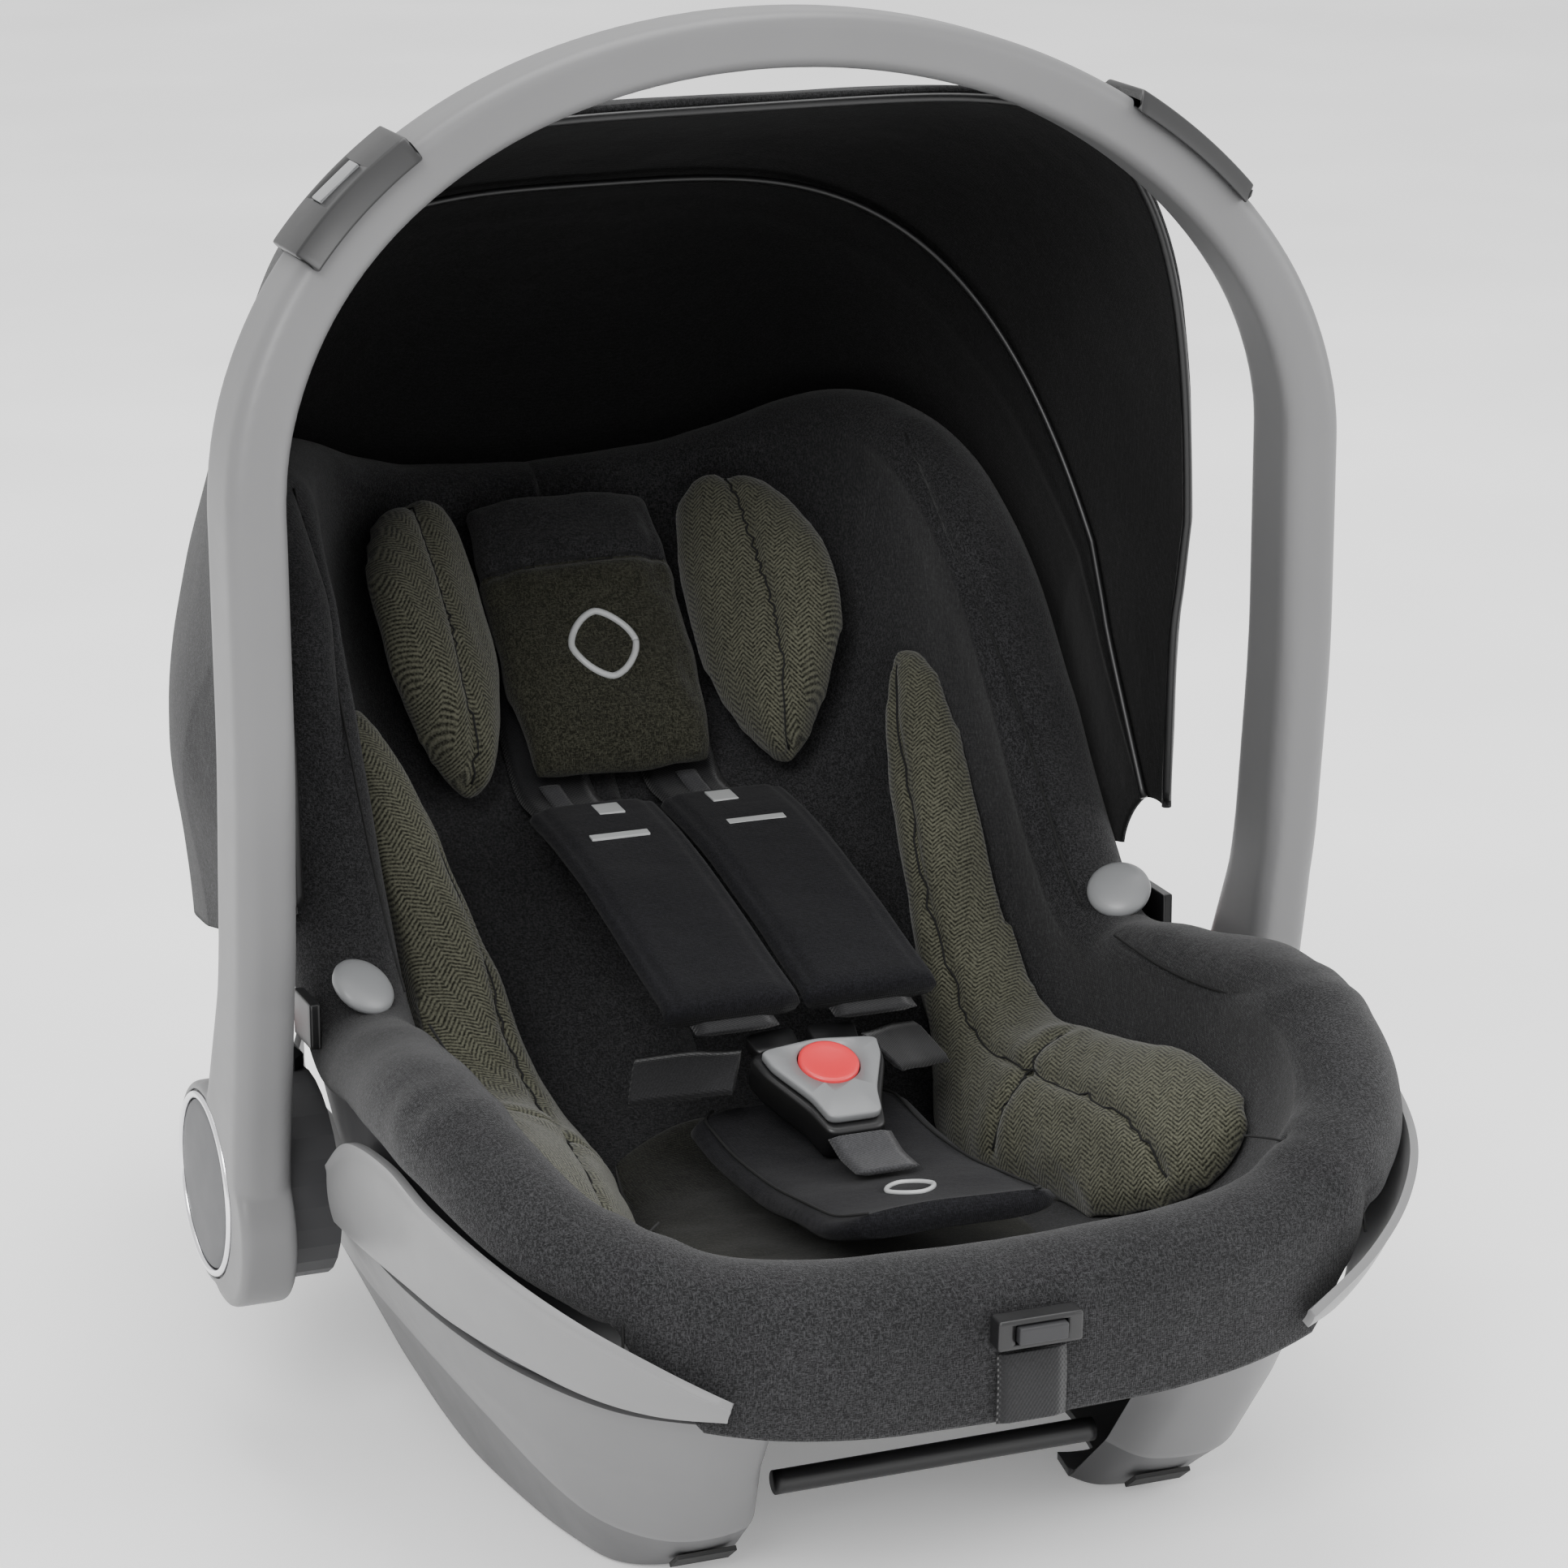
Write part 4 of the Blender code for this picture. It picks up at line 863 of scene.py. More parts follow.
def make_shoulder_belt(side, letter):
    """One shoulder strap with its lighter stripe."""
    x = BELT_X * side
    route = [(x, -0.074, 0.1695), (x, -0.045, 0.1765), (x, 0.00, 0.188), (x, 0.05, 0.1990),
             (x, 0.10, 0.2045), (x, 0.130, 0.2045), (x, 0.152, 0.2085), (x, 0.175, 0.2300),
             (x, 0.205, 0.2578)]
    belt = strap("shoulder_belt_" + letter, route, 0.036, 0.0022, "web", 60)
    finish_piece(belt, "shell", ["shoulder_strap_" + letter])
    light = strap("belt_stripe_" + letter, [(a + 0.002 * side, b, c + 0.0014) for a, b, c in route[4:7]],
                  0.010, 0.0008, "web_grey", 24)
    finish_piece(light, "shell", ())


def make_sleeve(side, letter):
    """A padded shoulder sleeve with two pressed seams, a blank badge and a blank label."""
    x = BELT_X * side
    sleeve = np.array([(x, -0.068, 0.1710), (x, -0.01, 0.1857), (x, 0.03, 0.1952),
                       (x, 0.07, 0.2022), (x, 0.104, 0.2050)]) + np.array([0, 0, 0.0066])
    t = np.linspace(0, 1, 70)
    width = 0.0585 * (1 - 0.10 * np.clip((t - 0.92) / 0.08, 0, 1) ** 2)
    body = strap_rings(sleeve, width, 0.0095, 70, sides=31)
    height = np.abs(t - 0.5) * 2
    body = body + np.array([0, 0, 1]) * (-0.0022 * np.clip((height - 0.9) / 0.1, 0, 1) ** 2)[:, None, None]
    body[..., 2] += 0.0007 * waves(body, 55.0, side)
    pad = loft("shoulder_sleeve_" + letter, body, "pad")
    line = spline(sleeve, np.linspace(0.03, 0.97, 60))
    co, up = vertex_data(pad.data)
    move = np.zeros(len(co))
    for off in (-0.0238, 0.0238):
        away = distance_to(co, line + np.array([off, 0, 0.004]))
        move -= 0.0010 * np.exp(-(away / 0.0016) ** 2)
    pad.data.vertices.foreach_set("co", (co + up * move[:, None]).ravel())
    finish_piece(pad, "shell", ["shoulder_pad_" + letter])
    for name, spot, across, size in (("badge", 0.885, -0.004, (0.0115, 0.0115, 0.0010)),
                                     ("label", 0.70, 0.001, (0.026, 0.0045, 0.0010))):
        at = spline(sleeve, [spot - 0.02, spot, spot + 0.02])
        slope = math.atan2(at[2, 2] - at[0, 2], at[2, 1] - at[0, 1])
        patch = rounded_box(f"sleeve_{name}_{letter}", Vector(at[1]) + Vector((across * side, 0, 0.0050)),
                            size, "badge", Matrix.Rotation(slope, 4, "X"), 0.0004)
        finish_piece(patch, "shell", ())


def make_hip_belt(side, letter):
    hip = [(x * side, y, z) for x, y, z in ((0.0315, -0.076, 0.1525), (0.043, -0.067, 0.1500),
                                            (0.055, -0.056, 0.1465), (0.066, -0.047, 0.1430))]
    lap = strap("hip_belt_" + letter, hip, 0.024, 0.0022, "web", 30, (0.35 * side, 1, 0.2))
    finish_piece(lap, "shell", ["lap_strap_" + letter])


def make_crotch_pad():
    """The pad under the buckle with its piping, plain badge and webbing."""
    front = [(0, -0.058, 0.126), (0, -0.072, 0.124), (0, -0.10, 0.1215), (0, -0.14, 0.1235),
             (0, -0.175, 0.1290), (0, -0.205, 0.1345), (0, -0.222, 0.1405)]
    t = np.linspace(0, 1, 80)
    wide = (0.097 - 0.018 * np.clip((t - 0.80) / 0.2, 0, 1) ** 2
            - 0.020 * np.clip((0.15 - t) / 0.15, 0, 1) ** 2)
    rings = strap_rings(front, wide, 0.0105, 80, sides=41)
    rings[..., 2] += 0.0008 * waves(rings, 60.0, 0.4)
    crotch = loft("crotch_cushion", rings, "pad")
    up = unit(np.array([0.0, -0.16, 1.0]))
    corners = lozenge(49)
    spot = (np.array([0, -0.180, 0.1352]) + corners[:, :1] * [0.0095, 0, 0]
            + corners[:, 1:] * [0, 0.0100, 0.0016])
    ring = on_surface(crotch, spot, np.repeat(up[None], 49, 0), 0.04) + up * 0.0004
    finish_piece(thin_tube("crotch_badge", ring, 0.0010, "badge", 10), "shell", ())
    finish_piece(crotch, "shell", ["crotch_pad"])
    edge = spline(front, np.linspace(0.03, 0.985, 60))
    edge_w = np.interp(np.linspace(0.03, 0.985, 60), t, wide) / 2 - 0.0065
    for side, letter in SIDES:
        path = edge + np.stack([edge_w * side, 0 * edge_w, 0 * edge_w + 0.0051], -1)
        piping = thin_tube("crotch_piping_" + letter, path, 0.0006, "thread", 6)
        finish_piece(piping, "shell", ())
    tail = strap("buckle_webbing", [(0, -0.129, 0.1395), (0, -0.135, 0.1375), (0, -0.143, 0.1355),
                                    (0, -0.158, 0.1352)], 0.027, 0.0024, "web_grey", 30)
    finish_piece(tail, "shell", ["crotch_strap"])


def make_harness():
    for side, letter in SIDES:
        make_shoulder_belt(side, letter)
        make_sleeve(side, letter)
        make_hip_belt(side, letter)
    make_crotch_pad()


def frame_towards(normal):
    """Two directions square to a normal, as rows (side, up, normal)."""
    n = unit(np.array(normal, float))
    side = unit(np.cross((0, 1, 0), n) if abs(n[1]) < 0.9 else np.cross((0, 0, 1), n))
    return np.stack([side, np.cross(n, side), n])


def turned(profile, centre, normal, name, mat, segments=96):
    """A body turned about a normal from a profile of (radius, height) pairs."""
    side, up, n = frame_towards(normal)
    a = np.arange(segments) * 2 * math.pi / segments
    circle = np.cos(a)[:, None] * side + np.sin(a)[:, None] * up
    return loft(name, [np.array(centre) + r * circle + h * n for r, h in profile], mat)


def ring_body(name, centre, big, small, normal, mat, segments=96, sides=14):
    """A torus about a normal."""
    side, up, n = frame_towards(normal)
    a = np.arange(segments) * 2 * math.pi / segments
    out = np.cos(a)[:, None] * side + np.sin(a)[:, None] * up
    b = np.arange(sides) * 2 * math.pi / sides
    grid = (np.array(centre) + (big + small * np.cos(b))[None, :, None] * out[:, None]
            + (small * np.sin(b))[None, :, None] * n)
    return to_object(name, grid.reshape(-1, 3), grid_faces(segments, sides, True, True), mat)


def soft_corners(corners, radius, spans):
    """Rows of points across a surface whose corners are rounded: corners is a list of (n, 3) rails."""
    rows = []
    rails = [np.asarray(c, float) for c in corners]
    last = len(rails) - 1
    for k in range(last):
        a, b = rails[k], rails[k + 1]
        length = np.maximum(np.linalg.norm(b - a, axis=1, keepdims=True), 1e-6)
        near = np.minimum(radius / length, 0.45)
        start = near if k else 0 * near
        stop = 1 - near if k < last - 1 else 1 + 0 * near
        for t in np.linspace(0, 1, spans):
            rows.append(a + (b - a) * (start + (stop - start) * t))
        if k < last - 1:
            c = rails[k + 2]
            onward = np.minimum(radius / np.maximum(np.linalg.norm(c - b, axis=1, keepdims=True), 1e-6), 0.45)
            p0, p2 = a + (b - a) * (1 - near), b + (c - b) * onward
            for t in (0.25, 0.5, 0.75):
                rows.append(p0 * (1 - t) ** 2 + b * (2 * t * (1 - t)) + p2 * t ** 2)
    return np.stack(rows, 1)


def rounded_box(name, centre, size, mat, turn=None, bevel=0.001, dome=0.0):
    """A moulded block: its edges rounded and its broad faces slightly crowned."""
    bm = bmesh.new()
    bmesh.ops.create_cube(bm, size=1)
    bmesh.ops.subdivide_edges(bm, edges=bm.edges, cuts=6, use_grid_fill=True)
    thin = min(range(3), key=lambda i: size[i])
    for v in bm.verts:
        others = [2 * v.co[i] for i in range(3) if i != thin]
        crown = (1 - others[0] ** 2) * (1 - others[1] ** 2) * dome
        v.co = Vector([v.co[i] * size[i] for i in range(3)])
        v.co[thin] += math.copysign(crown, v.co[thin]) if abs(v.co[thin]) > size[thin] * 0.45 else 0
    mesh = bpy.data.meshes.new(name)
    bm.to_mesh(mesh)
    bm.free()
    mesh.transform(Matrix.Translation(centre) @ (turn or Matrix.Identity(4)))
    obj = linked(name, mesh, mat)
    modifier(obj, "BEVEL", width=bevel, segments=3, limit_method="ANGLE", angle_limit=math.radians(50))
    return apply_modifiers(obj)


def cut(obj, cutter):
    """Subtracts one body from another."""
    tool = modifier(obj, "BOOLEAN", operation="DIFFERENCE", solver="EXACT")
    tool.object = cutter
    bpy.context.view_layer.update()
    apply_modifiers(obj)
    bpy.data.objects.remove(cutter)
    return obj


def joined(name, parts, mat):
    """One object from several bodies."""
    bm = bmesh.new()
    for part in parts:
        bm.from_mesh(part.data)
    mesh = bpy.data.meshes.new(name)
    bm.to_mesh(mesh)
    bm.free()
    for part in parts:
        bpy.data.objects.remove(part)
    return linked(name, mesh, mat)


# ---------------------------------------------------------------- shell, wings and base
def make_shell():
    s = np.linspace(0, 1, 121)
    q = np.linspace(0, 1, 48) ** 0.85
    grid = bowl(s[:, None], q[None, :], HULL_MID, 0.0, 0.016, 3.0, 1.5)
    hull = sheet_object("seat_hull", whole(grid), "dark", 0.0028)
    edit(hull.data, weld)
    finish_piece(hull, "shell", ["seat_shell"])


def side_panel(name, grid, side, mat, thickness, node):
    grid = grid * np.array([side, 1, 1])
    panel = sheet_object(name, grid, mat, flip=side < 0)
    face_as(panel, lambda f: f.normal.x * side)
    modifier(panel, "SOLIDIFY", thickness=thickness, offset=-1, use_even_offset=True)
    modifier(panel, "BEVEL", width=0.0007, segments=2, limit_method="ANGLE", angle_limit=math.radians(55))
    apply_modifiers(panel)
    finish_piece(panel, "shell", [node])
    return panel


def make_wings():
    t = np.linspace(0, 1, 90)
    high, low = spline(TRIM_TOP, t), spline(TRIM_LOW, t)
    k = np.linspace(0, 1, 22)[None, :, None]
    bulge = np.linalg.norm(high - low, axis=1)[:, None, None] * 0.06
    grid = high[:, None] * (1 - k) + low[:, None] * k + np.array([0.9, -0.4, 0]) * bulge * 4 * k * (1 - k)
    lip = np.exp(-(k / 0.09) ** 2) * 0.0012
    grid = grid + np.array([0.9, -0.4, 0]) * lip
    for side, letter in SIDES:
        side_panel("wing_trim_" + letter, grid, side, "trim", 0.0034, "rim_trim_" + letter)


def make_base():
    t = np.linspace(0, 1, 150)
    a, b, c, d = (spline([row[k] for row in BASE_RAILS], t) for k in range(4))
    upper = (a + b) / 2 + np.array([0.002, 0, 0])
    grid = soft_corners([a, upper, b, c, d], 0.0022, 6)
    grid[..., 2] = np.maximum(grid[..., 2], 0)
    for side, letter in SIDES:
        panel = side_panel("base_panel_" + letter, grid, side, "grey", 0.0031, "base_side_" + letter)
        # faces below the crease that turn away from the sky get the darker copy of the grey: painted shade on
        # the lower panel
        panel.data.materials.append(MATS["grey_painted_shade"])
        for face in panel.data.polygons:
            p = face.center
            crease = np.interp(-p.y, [-0.19, 0.01, 0.13, 0.182, 0.205, 0.224],
                               [0.066, 0.060, 0.048, 0.036, 0.028, 0.026])
            if p.z < crease - 0.0015 and face.normal.z < 0.5:
                face.material_index = 1
        slope = Matrix.Rotation(math.atan2(-0.026, 0.034), 4, "X")
        foot = rounded_box("foot_rubber_" + letter, (0.096 * side, -0.2048, 0.0083), (0.024, 0.012, 0.0020),
                           "rubber", slope, 0.0005)
        finish_piece(foot, "shell", ["foot_pad_" + letter])
    for name, x, y, z, r in (("front_bar", 0.067, -0.205, 0.034, 0.0048),
                             ("rear_bar", 0.098, 0.150, 0.024, 0.0045)):
        ends = np.array([(-x, y, z), (-x * 0.5, y, z), (0, y, z), (x * 0.5, y, z), (x, y, z)])
        rod = thin_tube(name + "_rod", spline(ends, np.linspace(0, 1, 24)), r, "black", 24)
        finish_piece(rod, "shell", [name])


# ---------------------------------------------------------------- handle and its hubs
LEAN = [(0.107, -0.016), (0.16, -0.034), (0.21, -0.050), (0.30, -0.060), (0.40, -0.060), (0.45, -0.053),
        (0.50, -0.042), (0.54, -0.034), (0.60, -0.028)]


def handle_line():
    """Centreline from the -X hub over the crown to the +X hub."""
    legs = np.linspace(0.118, SHOULDER_Z, 60, endpoint=False)
    angle = np.linspace(0, math.pi / 2, 90)
    x = np.concatenate([np.full(60, LEG_X), LEG_X * np.maximum(np.cos(angle), 0) ** (2 / ARCH_POWER)])
    z = np.concatenate([legs, SHOULDER_Z + (CROWN_Z - SHOULDER_Z) * np.sin(angle) ** (2 / ARCH_POWER)])
    x[-1] = 0
    y = np.interp(z, [p[0] for p in LEAN], [p[1] for p in LEAN])
    y = np.convolve(np.pad(y, 4, mode="edge"), np.ones(9) / 9, "valid")
    right = np.stack([x, y, z], -1)
    return np.concatenate([right * MIRROR, right[-2::-1]])


def section_rings(path, sections):
    """Closed rings along the path from (out, along Y) sections, one for each point."""
    ahead = np.gradient(path, axis=0)
    ahead[:, 1] = 0
    ahead = unit(ahead)
    out = np.stack([-ahead[:, 2], 0 * ahead[:, 0], ahead[:, 0]], -1)
    return (path[:, None] + out[:, None] * sections[..., :1]
            + np.array([0, 1, 0]) * sections[..., 1:])


def rounded_section(half_a, half_b, corner):
    points = []
    for qa, qb, start in ((1, 1, 0), (-1, 1, 90), (-1, -1, 180), (1, -1, 270)):
        for k in range(7):
            angle = math.radians(start + 15 * k)
            a = qa * (half_a - corner) + corner * math.cos(angle)
            points.append((a, qb * (half_b - corner) + corner * math.sin(angle)))
    return points


def side_disc(name, x, y, z, radius, depth, mat, edge=0.002):
    """A disc along X with rounded rims, centred at the point given."""
    half = [(radius * 0.3, 0), (radius - edge, 0), (radius - edge * 0.3, edge * 0.3), (radius, edge)]
    profile = half + [(r, depth - h) for r, h in half[::-1]]
    return turned(profile, (x - depth / 2, y, z), (1, 0, 0), name, mat)


def make_handle():
    path = handle_line()
    spread = np.maximum(0, (0.20 - path[:, 2]) / 0.08)
    rise = np.maximum(0, (path[:, 2] - SHOULDER_Z) / (CROWN_Z - SHOULDER_Z))
    sections = np.array([rounded_section(LEG_HALF - 0.001 * r, LEG_DEPTH + 0.010 * s - 0.002 * r, 0.0072)
                         for s, r in zip(spread, rise)])
    parts = [loft("arch", section_rings(path, sections), "grey")]
    for side in (1, -1):
        parts.append(side_disc("blank", LEG_X * side, 0, HUB_Z, HUB_R, 0.0232, "grey"))
        parts.append(side_disc("lobe", LEG_X * side, -0.020, 0.099, 0.036, 0.0228, "grey"))
    handle = joined("carry_arch", parts, "grey")
    voxel = 0.0014
    modifier(handle, "REMESH", mode="VOXEL", voxel_size=voxel, use_smooth_shade=True)
    modifier(handle, "SMOOTH", factor=0.6, iterations=7)
    apply_modifiers(handle)
    for side in (1, -1):
        recess = side_disc("recess", 0.2365 * side, 0, HUB_Z, 0.0388, 0.012, "grey", edge=0.0006)
        cut(handle, recess)
    finish_piece(handle, "handle", ["carry_handle"])
    for side, letter in SIDES:
        ring = ring_body("hub_bezel_" + letter, (0.2324 * side, 0, HUB_Z), 0.0364, 0.0015, (side, 0, 0),
                         "chrome")
        finish_piece(ring, "handle", ["hub_ring_" + letter])
        profile = [(0.0300, 0.0), (0.0346, 0.0003), (0.0346, 0.0012), (0.0340, 0.0018), (0.030, 0.0021),
                   (0.018, 0.0027), (0.008, 0.0029), (0.001, 0.0029)]
        cap = turned(profile, (0.2308 * side, 0, HUB_Z), (side, 0, 0), "hub_face_" + letter, "disc")
        finish_piece(cap, "handle", ["hub_cap_" + letter])


def make_grips():
    low, high = 0.0008, 0.0042
    tuck, edge = LEG_HALF - 0.005, LEG_DEPTH - 0.0035
    outline = [(tuck, -LEG_DEPTH - high), (LEG_HALF + high, -edge), (LEG_HALF + high, 0.0),
               (LEG_HALF + high, edge), (tuck, LEG_DEPTH + high), (tuck, LEG_DEPTH + low),
               (LEG_HALF - 0.0015, LEG_DEPTH + low - 0.0005), (LEG_HALF + low, LEG_DEPTH - 0.0020),
               (LEG_HALF + low, 0.0), (LEG_HALF + low, -LEG_DEPTH + 0.0020),
               (LEG_HALF - 0.0015, -LEG_DEPTH - low + 0.0005), (tuck, -LEG_DEPTH - low)]
    line = handle_line()
    for side, letter in SIDES:
        keep = (line[:, 0] * side > 0) & (line[:, 2] > 0.481) & (line[:, 2] < 0.521)
        path = line[keep]
        sections = np.repeat(np.array(outline)[None], len(path), 0)
        grip = loft("grip_pad_" + letter, section_rings(path, sections), "black")
        modifier(grip, "BEVEL", width=0.0012, segments=3, limit_method="ANGLE", angle_limit=math.radians(35))
        apply_modifiers(grip)
        middle = path[len(path) // 2]
        ahead = path[len(path) // 2 + 2] - path[len(path) // 2 - 2]
        turn = Matrix.Rotation(math.atan2(ahead[0], ahead[2]), 4, "Y")
        out = unit(np.array([-ahead[2], 0, ahead[0]]))
        well = rounded_box("grip_well", middle + out * (LEG_HALF + 0.0060), (0.0120, 0.0110, 0.0210), "black",
                           turn, 0.0008)
        cut(grip, well)
        finish_piece(grip, "handle", ["grip_insert_" + letter])
        key = rounded_box("grip_key_" + letter, middle + out * (LEG_HALF + 0.0037), (0.0030, 0.0102, 0.0202),
                          "light", turn, 0.0009, 0.0004)
        finish_piece(key, "grip_button_" + HANDS[side], ["grip_button_" + letter])


def make_side_details():
    for side, letter in SIDES:
        face = Matrix.Rotation(math.radians(-24 * side), 3, "Y") @ Matrix.Rotation(math.radians(32), 3, "X")
        axis = np.array(face @ Vector((0, 0, 1)))
        if axis[2] < 0:
            axis = -axis
        centre = np.array([0.1675 * side, -0.012, 0.1860])
        profile = [(0.0118, -0.0020), (0.0133, -0.0012), (0.0137, 0.0002), (0.0134, 0.0014), (0.0122, 0.0026),
                   (0.0100, 0.0036), (0.0068, 0.0043), (0.0034, 0.0046), (0.0004, 0.0047)]
        snap = turned(profile, centre, axis, "snap_cap_" + letter, "light", 64)
        finish_piece(snap, "shell", ["cover_snap_" + letter])
        button = rounded_box("release_key_" + letter, (0.2008 * side, 0.052, 0.146), (0.0060, 0.020, 0.018),
                             "red", None, 0.0012, 0.0004)
        finish_piece(button, "release_button_" + HANDS[side], ["release_button_" + letter])
        plate = rounded_box("canopy_socket_" + letter, (0.1888 * side, CANOPY_Y, 0.1730),
                            (0.0045, 0.024, 0.0190), "black", None, 0.0012, 0.0003)
        finish_piece(plate, "shell", ["canopy_mount_" + letter])


# ---------------------------------------------------------------- buckle and adjuster
def buckle_points(outline, height):
    along = np.array([0, math.cos(TILT), math.sin(TILT)])
    up = np.array([0, -math.sin(TILT), math.cos(TILT)])
    o = np.asarray(outline, float)
    return BUCKLE + np.array([1, 0, 0]) * o[:, :1] + along * o[:, 1:] + up * height


def soft_outline(outline):
    """A closed outline whose corners are rounded off."""
    p = np.asarray(outline, float)
    rows = []
    for i in range(len(p)):
        a, b, c = p[i - 1], p[i], p[(i + 1) % len(p)]
        start, stop = b + (a - b) * 0.22, b + (c - b) * 0.22
        for t in np.linspace(0, 1, 8):
            rows.append(start * (1 - t) ** 2 + b * 2 * t * (1 - t) + stop * t ** 2)
    return np.array(rows)


def buckle_block(name, outline, low, high, mat, edge):
    """A block in the buckle's plane, its upper edge rounded over in four steps."""
    o = soft_outline(outline)
    middle = o.mean(0)
    away, deep = unit(o - middle), high - low
    steps = ((edge * 0.5, 0.0), (0.0, edge), (0.0, deep - edge), (edge * 0.3, deep - edge * 0.3),
             (edge, deep))
    rings = [buckle_points(o - away * inset, low + height) for inset, height in steps]
    rings.append(buckle_points(middle + (o - middle) * 0.45, high))
    return loft(name, rings, mat)


def make_buckle():
    body = [(-.012, -.034), (.012, -.034), (.016, -.018), (.026, .004), (.028, .016), (.020, .020),
            (-.020, .020), (-.028, .016), (-.026, .004), (-.016, -.018)]
    plate = [(-.011, -.030), (.011, -.030), (.014, -.016), (.0235, .004), (.025, .014), (0, .0175),
             (-.025, .014), (-.0235, .004), (-.014, -.016)]
    up = np.array([0, -math.sin(TILT), math.cos(TILT)])
    button_at = buckle_points([(0, 0.002)], 0.0)[0]

    def drum(radius, low, high):
        return turned([(radius * 0.5, 0), (radius, 0), (radius, high - low), (radius * 0.5, high - low)],
                      button_at + up * low, up, "drum", "light", 72)
    housing = buckle_block("buckle_case", body, -0.0150, -0.0005, "black", 0.0018)
    cut(housing, drum(0.0130, -0.0065, 0.0035))
    finish_piece(housing, "shell", ["buckle_body"])
    face = buckle_block("buckle_face", plate, 0.0, 0.0040, "light", 0.0010)
    cut(face, drum(0.0130, -0.0080, 0.0120))
    finish_piece(face, "shell", ["buckle_plate"])
    profile = [(0.0110, -0.0019), (0.0122, -0.0012), (0.0124, 0.0010), (0.0124, 0.0042), (0.0118, 0.0049),
               (0.0108, 0.0050), (0.0080, 0.0046), (0.0040, 0.0043), (0.0005, 0.0042)]
    press = turned(profile, button_at, up, "buckle_key", "red", 72)
    finish_piece(press, "buckle_press", ["buckle_button"])
    for side, letter in SIDES:
        shape = [(0.003, 0.0210), (0.022, 0.0210), (0.024, 0.0330), (0.003, 0.0350)]
        tongue = buckle_block("belt_tongue_" + letter, [(a * side, b) for a, b in shape], -0.010, -0.004,
                              "black", 0.0010)
        finish_piece(tongue, "tongue_" + HANDS[side], ["buckle_tongue_" + letter])


def make_adjuster():
    turn = Matrix.Rotation(math.radians(4), 4, "X")
    housing = rounded_box("adjuster_case", (0, -0.2985, 0.1240), (0.034, 0.0090, 0.012), "black", turn,
                          0.0012)
    well = rounded_box("adjuster_well", (0, -0.3030, 0.1240), (0.0210, 0.0100, 0.0078), "black", turn,
                       0.0005)
    cut(housing, well)
    finish_piece(housing, "shell", ["adjuster_housing"])
    key = rounded_box("adjuster_key", (0, -0.3028, 0.1240), (0.0196, 0.0060, 0.0066), "dark", turn, 0.0008)
    finish_piece(key, "adjuster_press", ["adjuster_button"])
    tab = strap("adjuster_tab", [(0, -0.2945, 0.1135), (0, -0.2950, 0.105), (0, -0.2948, 0.096),
                                 (0, -0.2940, 0.086)], 0.028, 0.0022, "web", 30)
    finish_piece(tab, "shell", ["adjuster_strap"])


# ---------------------------------------------------------------- canopy
CANOPY_FRONT, CANOPY_SEAM, CANOPY_REAR = -1.0, 40.0, 102.0


def hood_shares(degrees):
    """How far an angle is from the front edge to the seam, and from the seam to the rear edge."""
    return (np.clip((degrees - CANOPY_FRONT) / (CANOPY_SEAM - CANOPY_FRONT), 0, 1),
            np.clip((degrees - CANOPY_SEAM) / (CANOPY_REAR - CANOPY_SEAM), 0, 1))


def hood_section(degrees, inset, low, count):
    """The hood's cross-section at an angle behind upright, as (x, r) rows from -X to +X."""
    back, far = hood_shares(degrees)
    back = back * back * (3 - 2 * back)
    power = 5.0 - 1.7 * back
    inset = inset + 0.002 * back + 0.003 * far
    radius, half = CANOPY_R - inset, CANOPY_HALF - inset * 0.6
    a = np.radians(np.linspace(36, 90, count))
    c, s = np.cos(a), np.sin(a)
    scale = (np.abs(c / half) ** power + np.abs(s / radius) ** power) ** (-1 / power)
    x, r = c * scale, s * scale
    corners = [(half - 0.007, low), (half - 0.006, 0.090),
               (x[0] * 0.5 + (half - 0.006) * 0.5, 0.5 * (0.09 + r[0])), (x[0], r[0])]
    lower = spline(corners, np.linspace(0, 1, count // 2))[:-1]
    points = np.concatenate([lower, np.stack([x, r], -1)])
    return np.concatenate([points * np.array([-1, 1]), points[-2::-1]])


def swing(x, r, degrees):
    a = np.radians(degrees)
    return np.stack([x, CANOPY_Y + r * np.sin(a), CANOPY_Z + r * np.cos(a)], -1)


def hood_grid(rows, count):
    """The hood's cloth from its front edge to its rear edge."""
    grid = []
    for degrees in np.linspace(CANOPY_FRONT, CANOPY_REAR, rows):
        low = np.interp(degrees, [CANOPY_FRONT, 60, CANOPY_REAR], [0.018, 0.026, 0.034])
        x, r = hood_section(degrees, 0.0, low, count).T
        # the cloth dips between the bows and holds a few soft pulls
        between, rear = (np.sin(math.pi * share) ** 2 for share in hood_shares(degrees))
        crown = np.clip((r - 0.12) / 0.15, 0, 1)
        r = r - crown * (0.0030 * between + 0.0022 * rear)
        x = x * (1 + np.exp(-((r - 0.17) / 0.09) ** 2) * (0.045 * rear - 0.006 * between))
        grid.append(swing(x, r, degrees))
    return np.stack(grid)


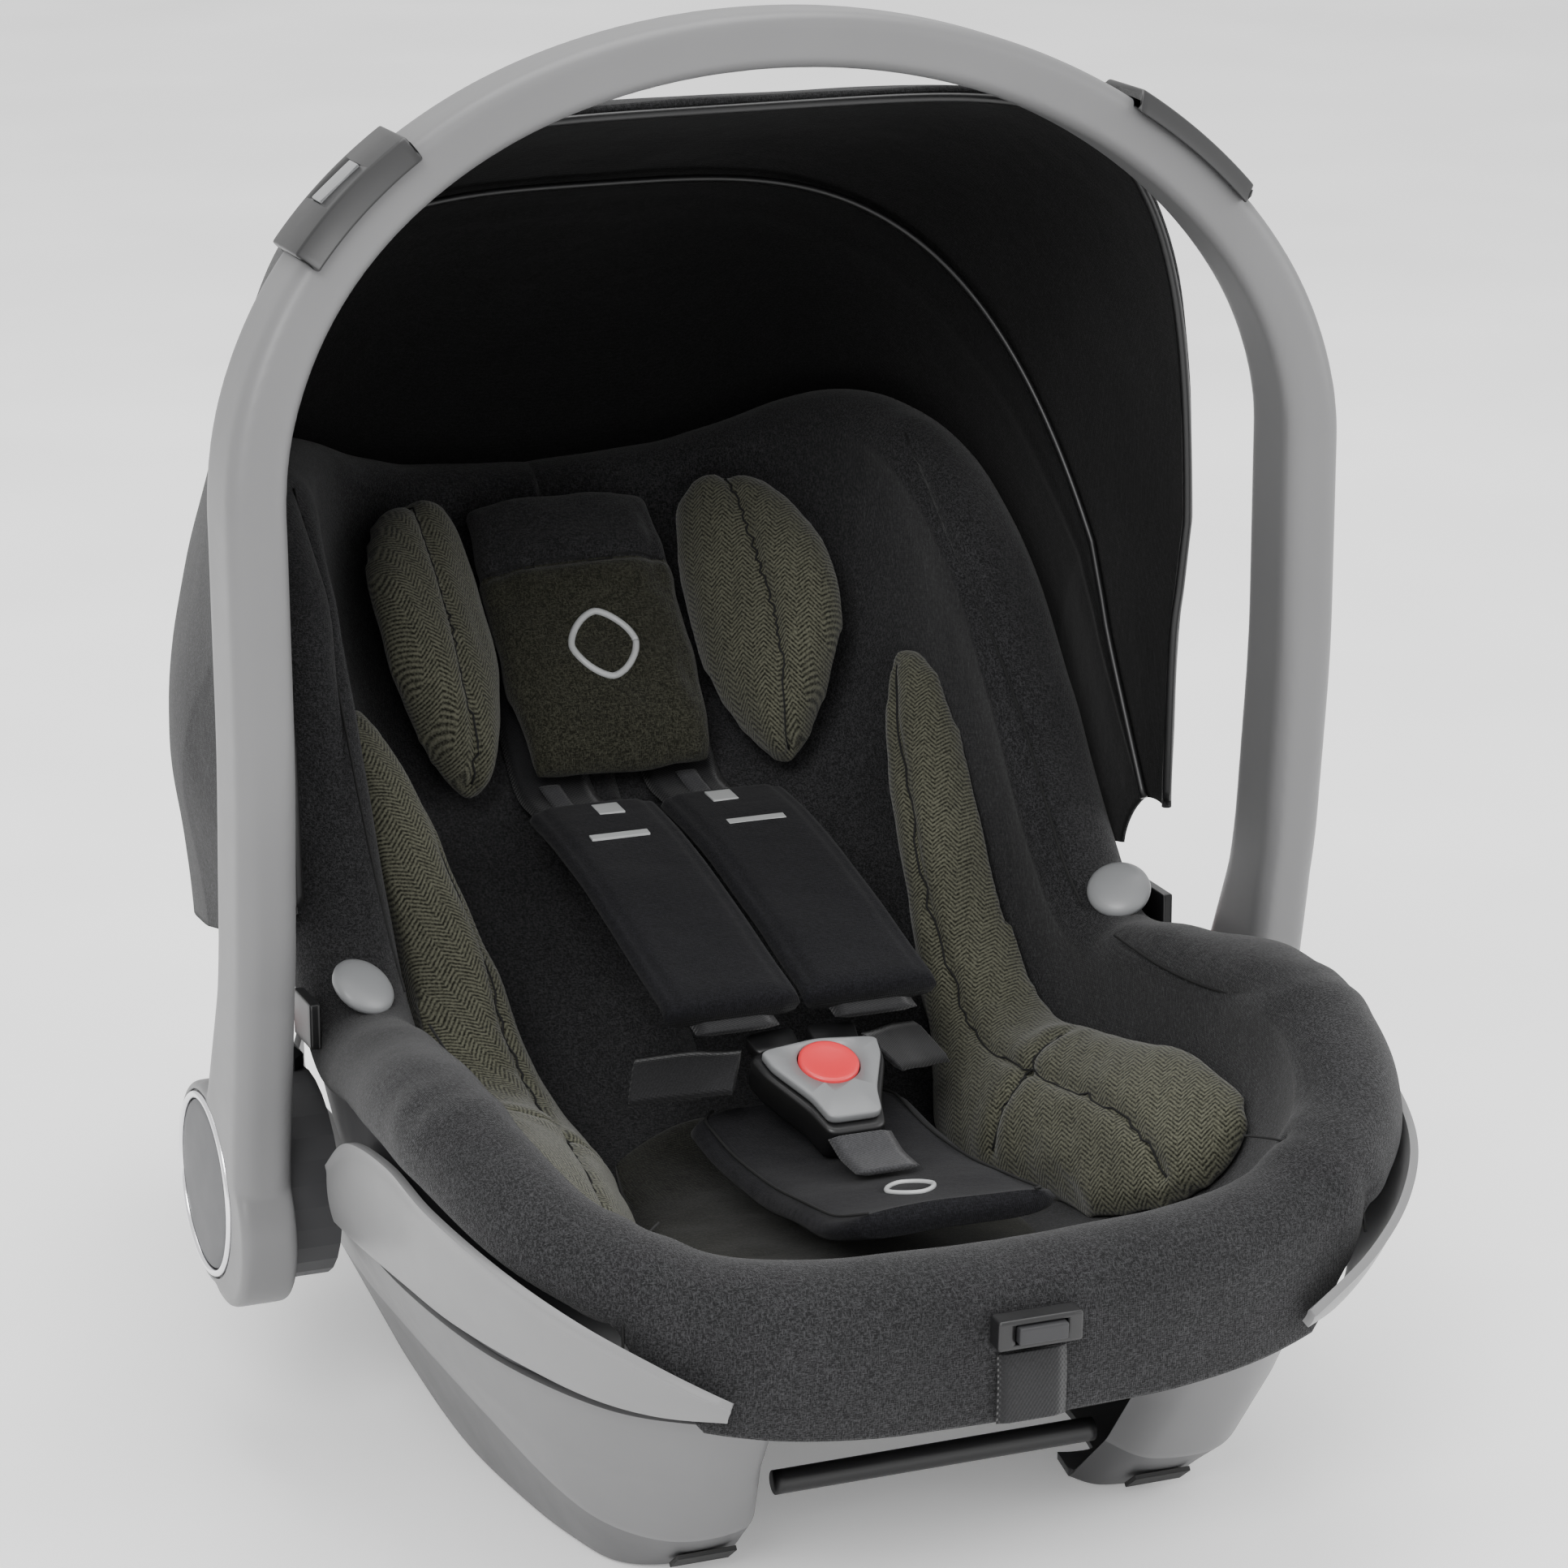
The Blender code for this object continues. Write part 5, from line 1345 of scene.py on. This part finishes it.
def make_canopy():
    rows, count = ((110, 70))
    grid = hood_grid(rows, count)
    up = normals_of(grid)
    middle = grid.mean((0, 1))
    if ((grid - middle) * up).sum() < 0:
        up = -up
    grid = grid + up * (0.0008 * waves(grid, 22.0, 0.9) + 0.0003 * waves(grid, 70.0, 2.4))[..., None]
    # one long seam over the middle bow
    degrees = np.degrees(np.arctan2(grid[..., 1] - CANOPY_Y, grid[..., 2] - CANOPY_Z))
    reach = np.hypot(grid[..., 1] - CANOPY_Y, grid[..., 2] - CANOPY_Z)
    arc = np.abs(np.radians(degrees - CANOPY_SEAM)) * reach
    grid = grid - up * (0.0010 * np.exp(-(arc / 0.0022) ** 2))[..., None]
    cloth = sheet_object("hood_cloth", grid, ["hood", "lining"])
    pivot = Vector((0, CANOPY_Y, CANOPY_Z))
    face_as(cloth, lambda f: (f.calc_center_median() - pivot).dot(f.normal))
    modifier(cloth, "SOLIDIFY", thickness=0.0011, offset=-1, material_offset=1, material_offset_rim=0)
    apply_modifiers(cloth)
    settle(cloth)
    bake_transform(cloth)
    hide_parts("canopy_rear", "canopy_mid", "canopy_front")
    # the front hem: a rolled binding round the opening
    hem = thin_tube("hood_hem", grid[0], 0.0021, "hood", 12)
    finish_piece(hem, "canopy_front_part", ())
    for name, degrees, inset, radius, body in (("mid", 33.0, 0.0078, 0.0017, "canopy_middle_part"),
                                               ("front", -1.0, 0.0022, 0.0020, "canopy_front_part")):
        a = math.radians(degrees)
        ahead = np.array([0, -math.cos(a), math.sin(a)]) * (radius + 0.0008)
        x, r = hood_section(degrees, inset, 0.022, 60).T
        bow = thin_tube(f"hood_bow_{name}", swing(x, r, degrees) + ahead, radius, "black", 10)
        finish_piece(bow, body, [f"canopy_{name}_bow"])


# ---------------------------------------------------------------- the rest of the CAD's pieces
LOOKS = {
    "grey_plastic": "grey", "dark_plastic": "dark", "black_plastic": "black", "light_plastic": "light",
    "red_plastic": "red", "rubber": "rubber", "steel": "steel", "chrome": "chrome", "foam": "foam",
    "charcoal_fabric": "charcoal", "olive_fabric": "olive", "pad_fabric": "pad", "webbing": "web",
    "canopy_fabric": "hood",
}


def dress_frame():
    for node in NODES.values():
        for slot in node.material_slots:
            look = LOOKS.get(slot.material.name.split(".")[0])
            slot.material = MATS[look or "grey"]


dress_frame()
make_camera()
make_studio()
make_shell()
make_wings()
make_base()
make_cover()
make_inserts()
make_headrest()
make_harness()
make_handle()
make_grips()
make_side_details()
make_buckle()
make_adjuster()
make_canopy()
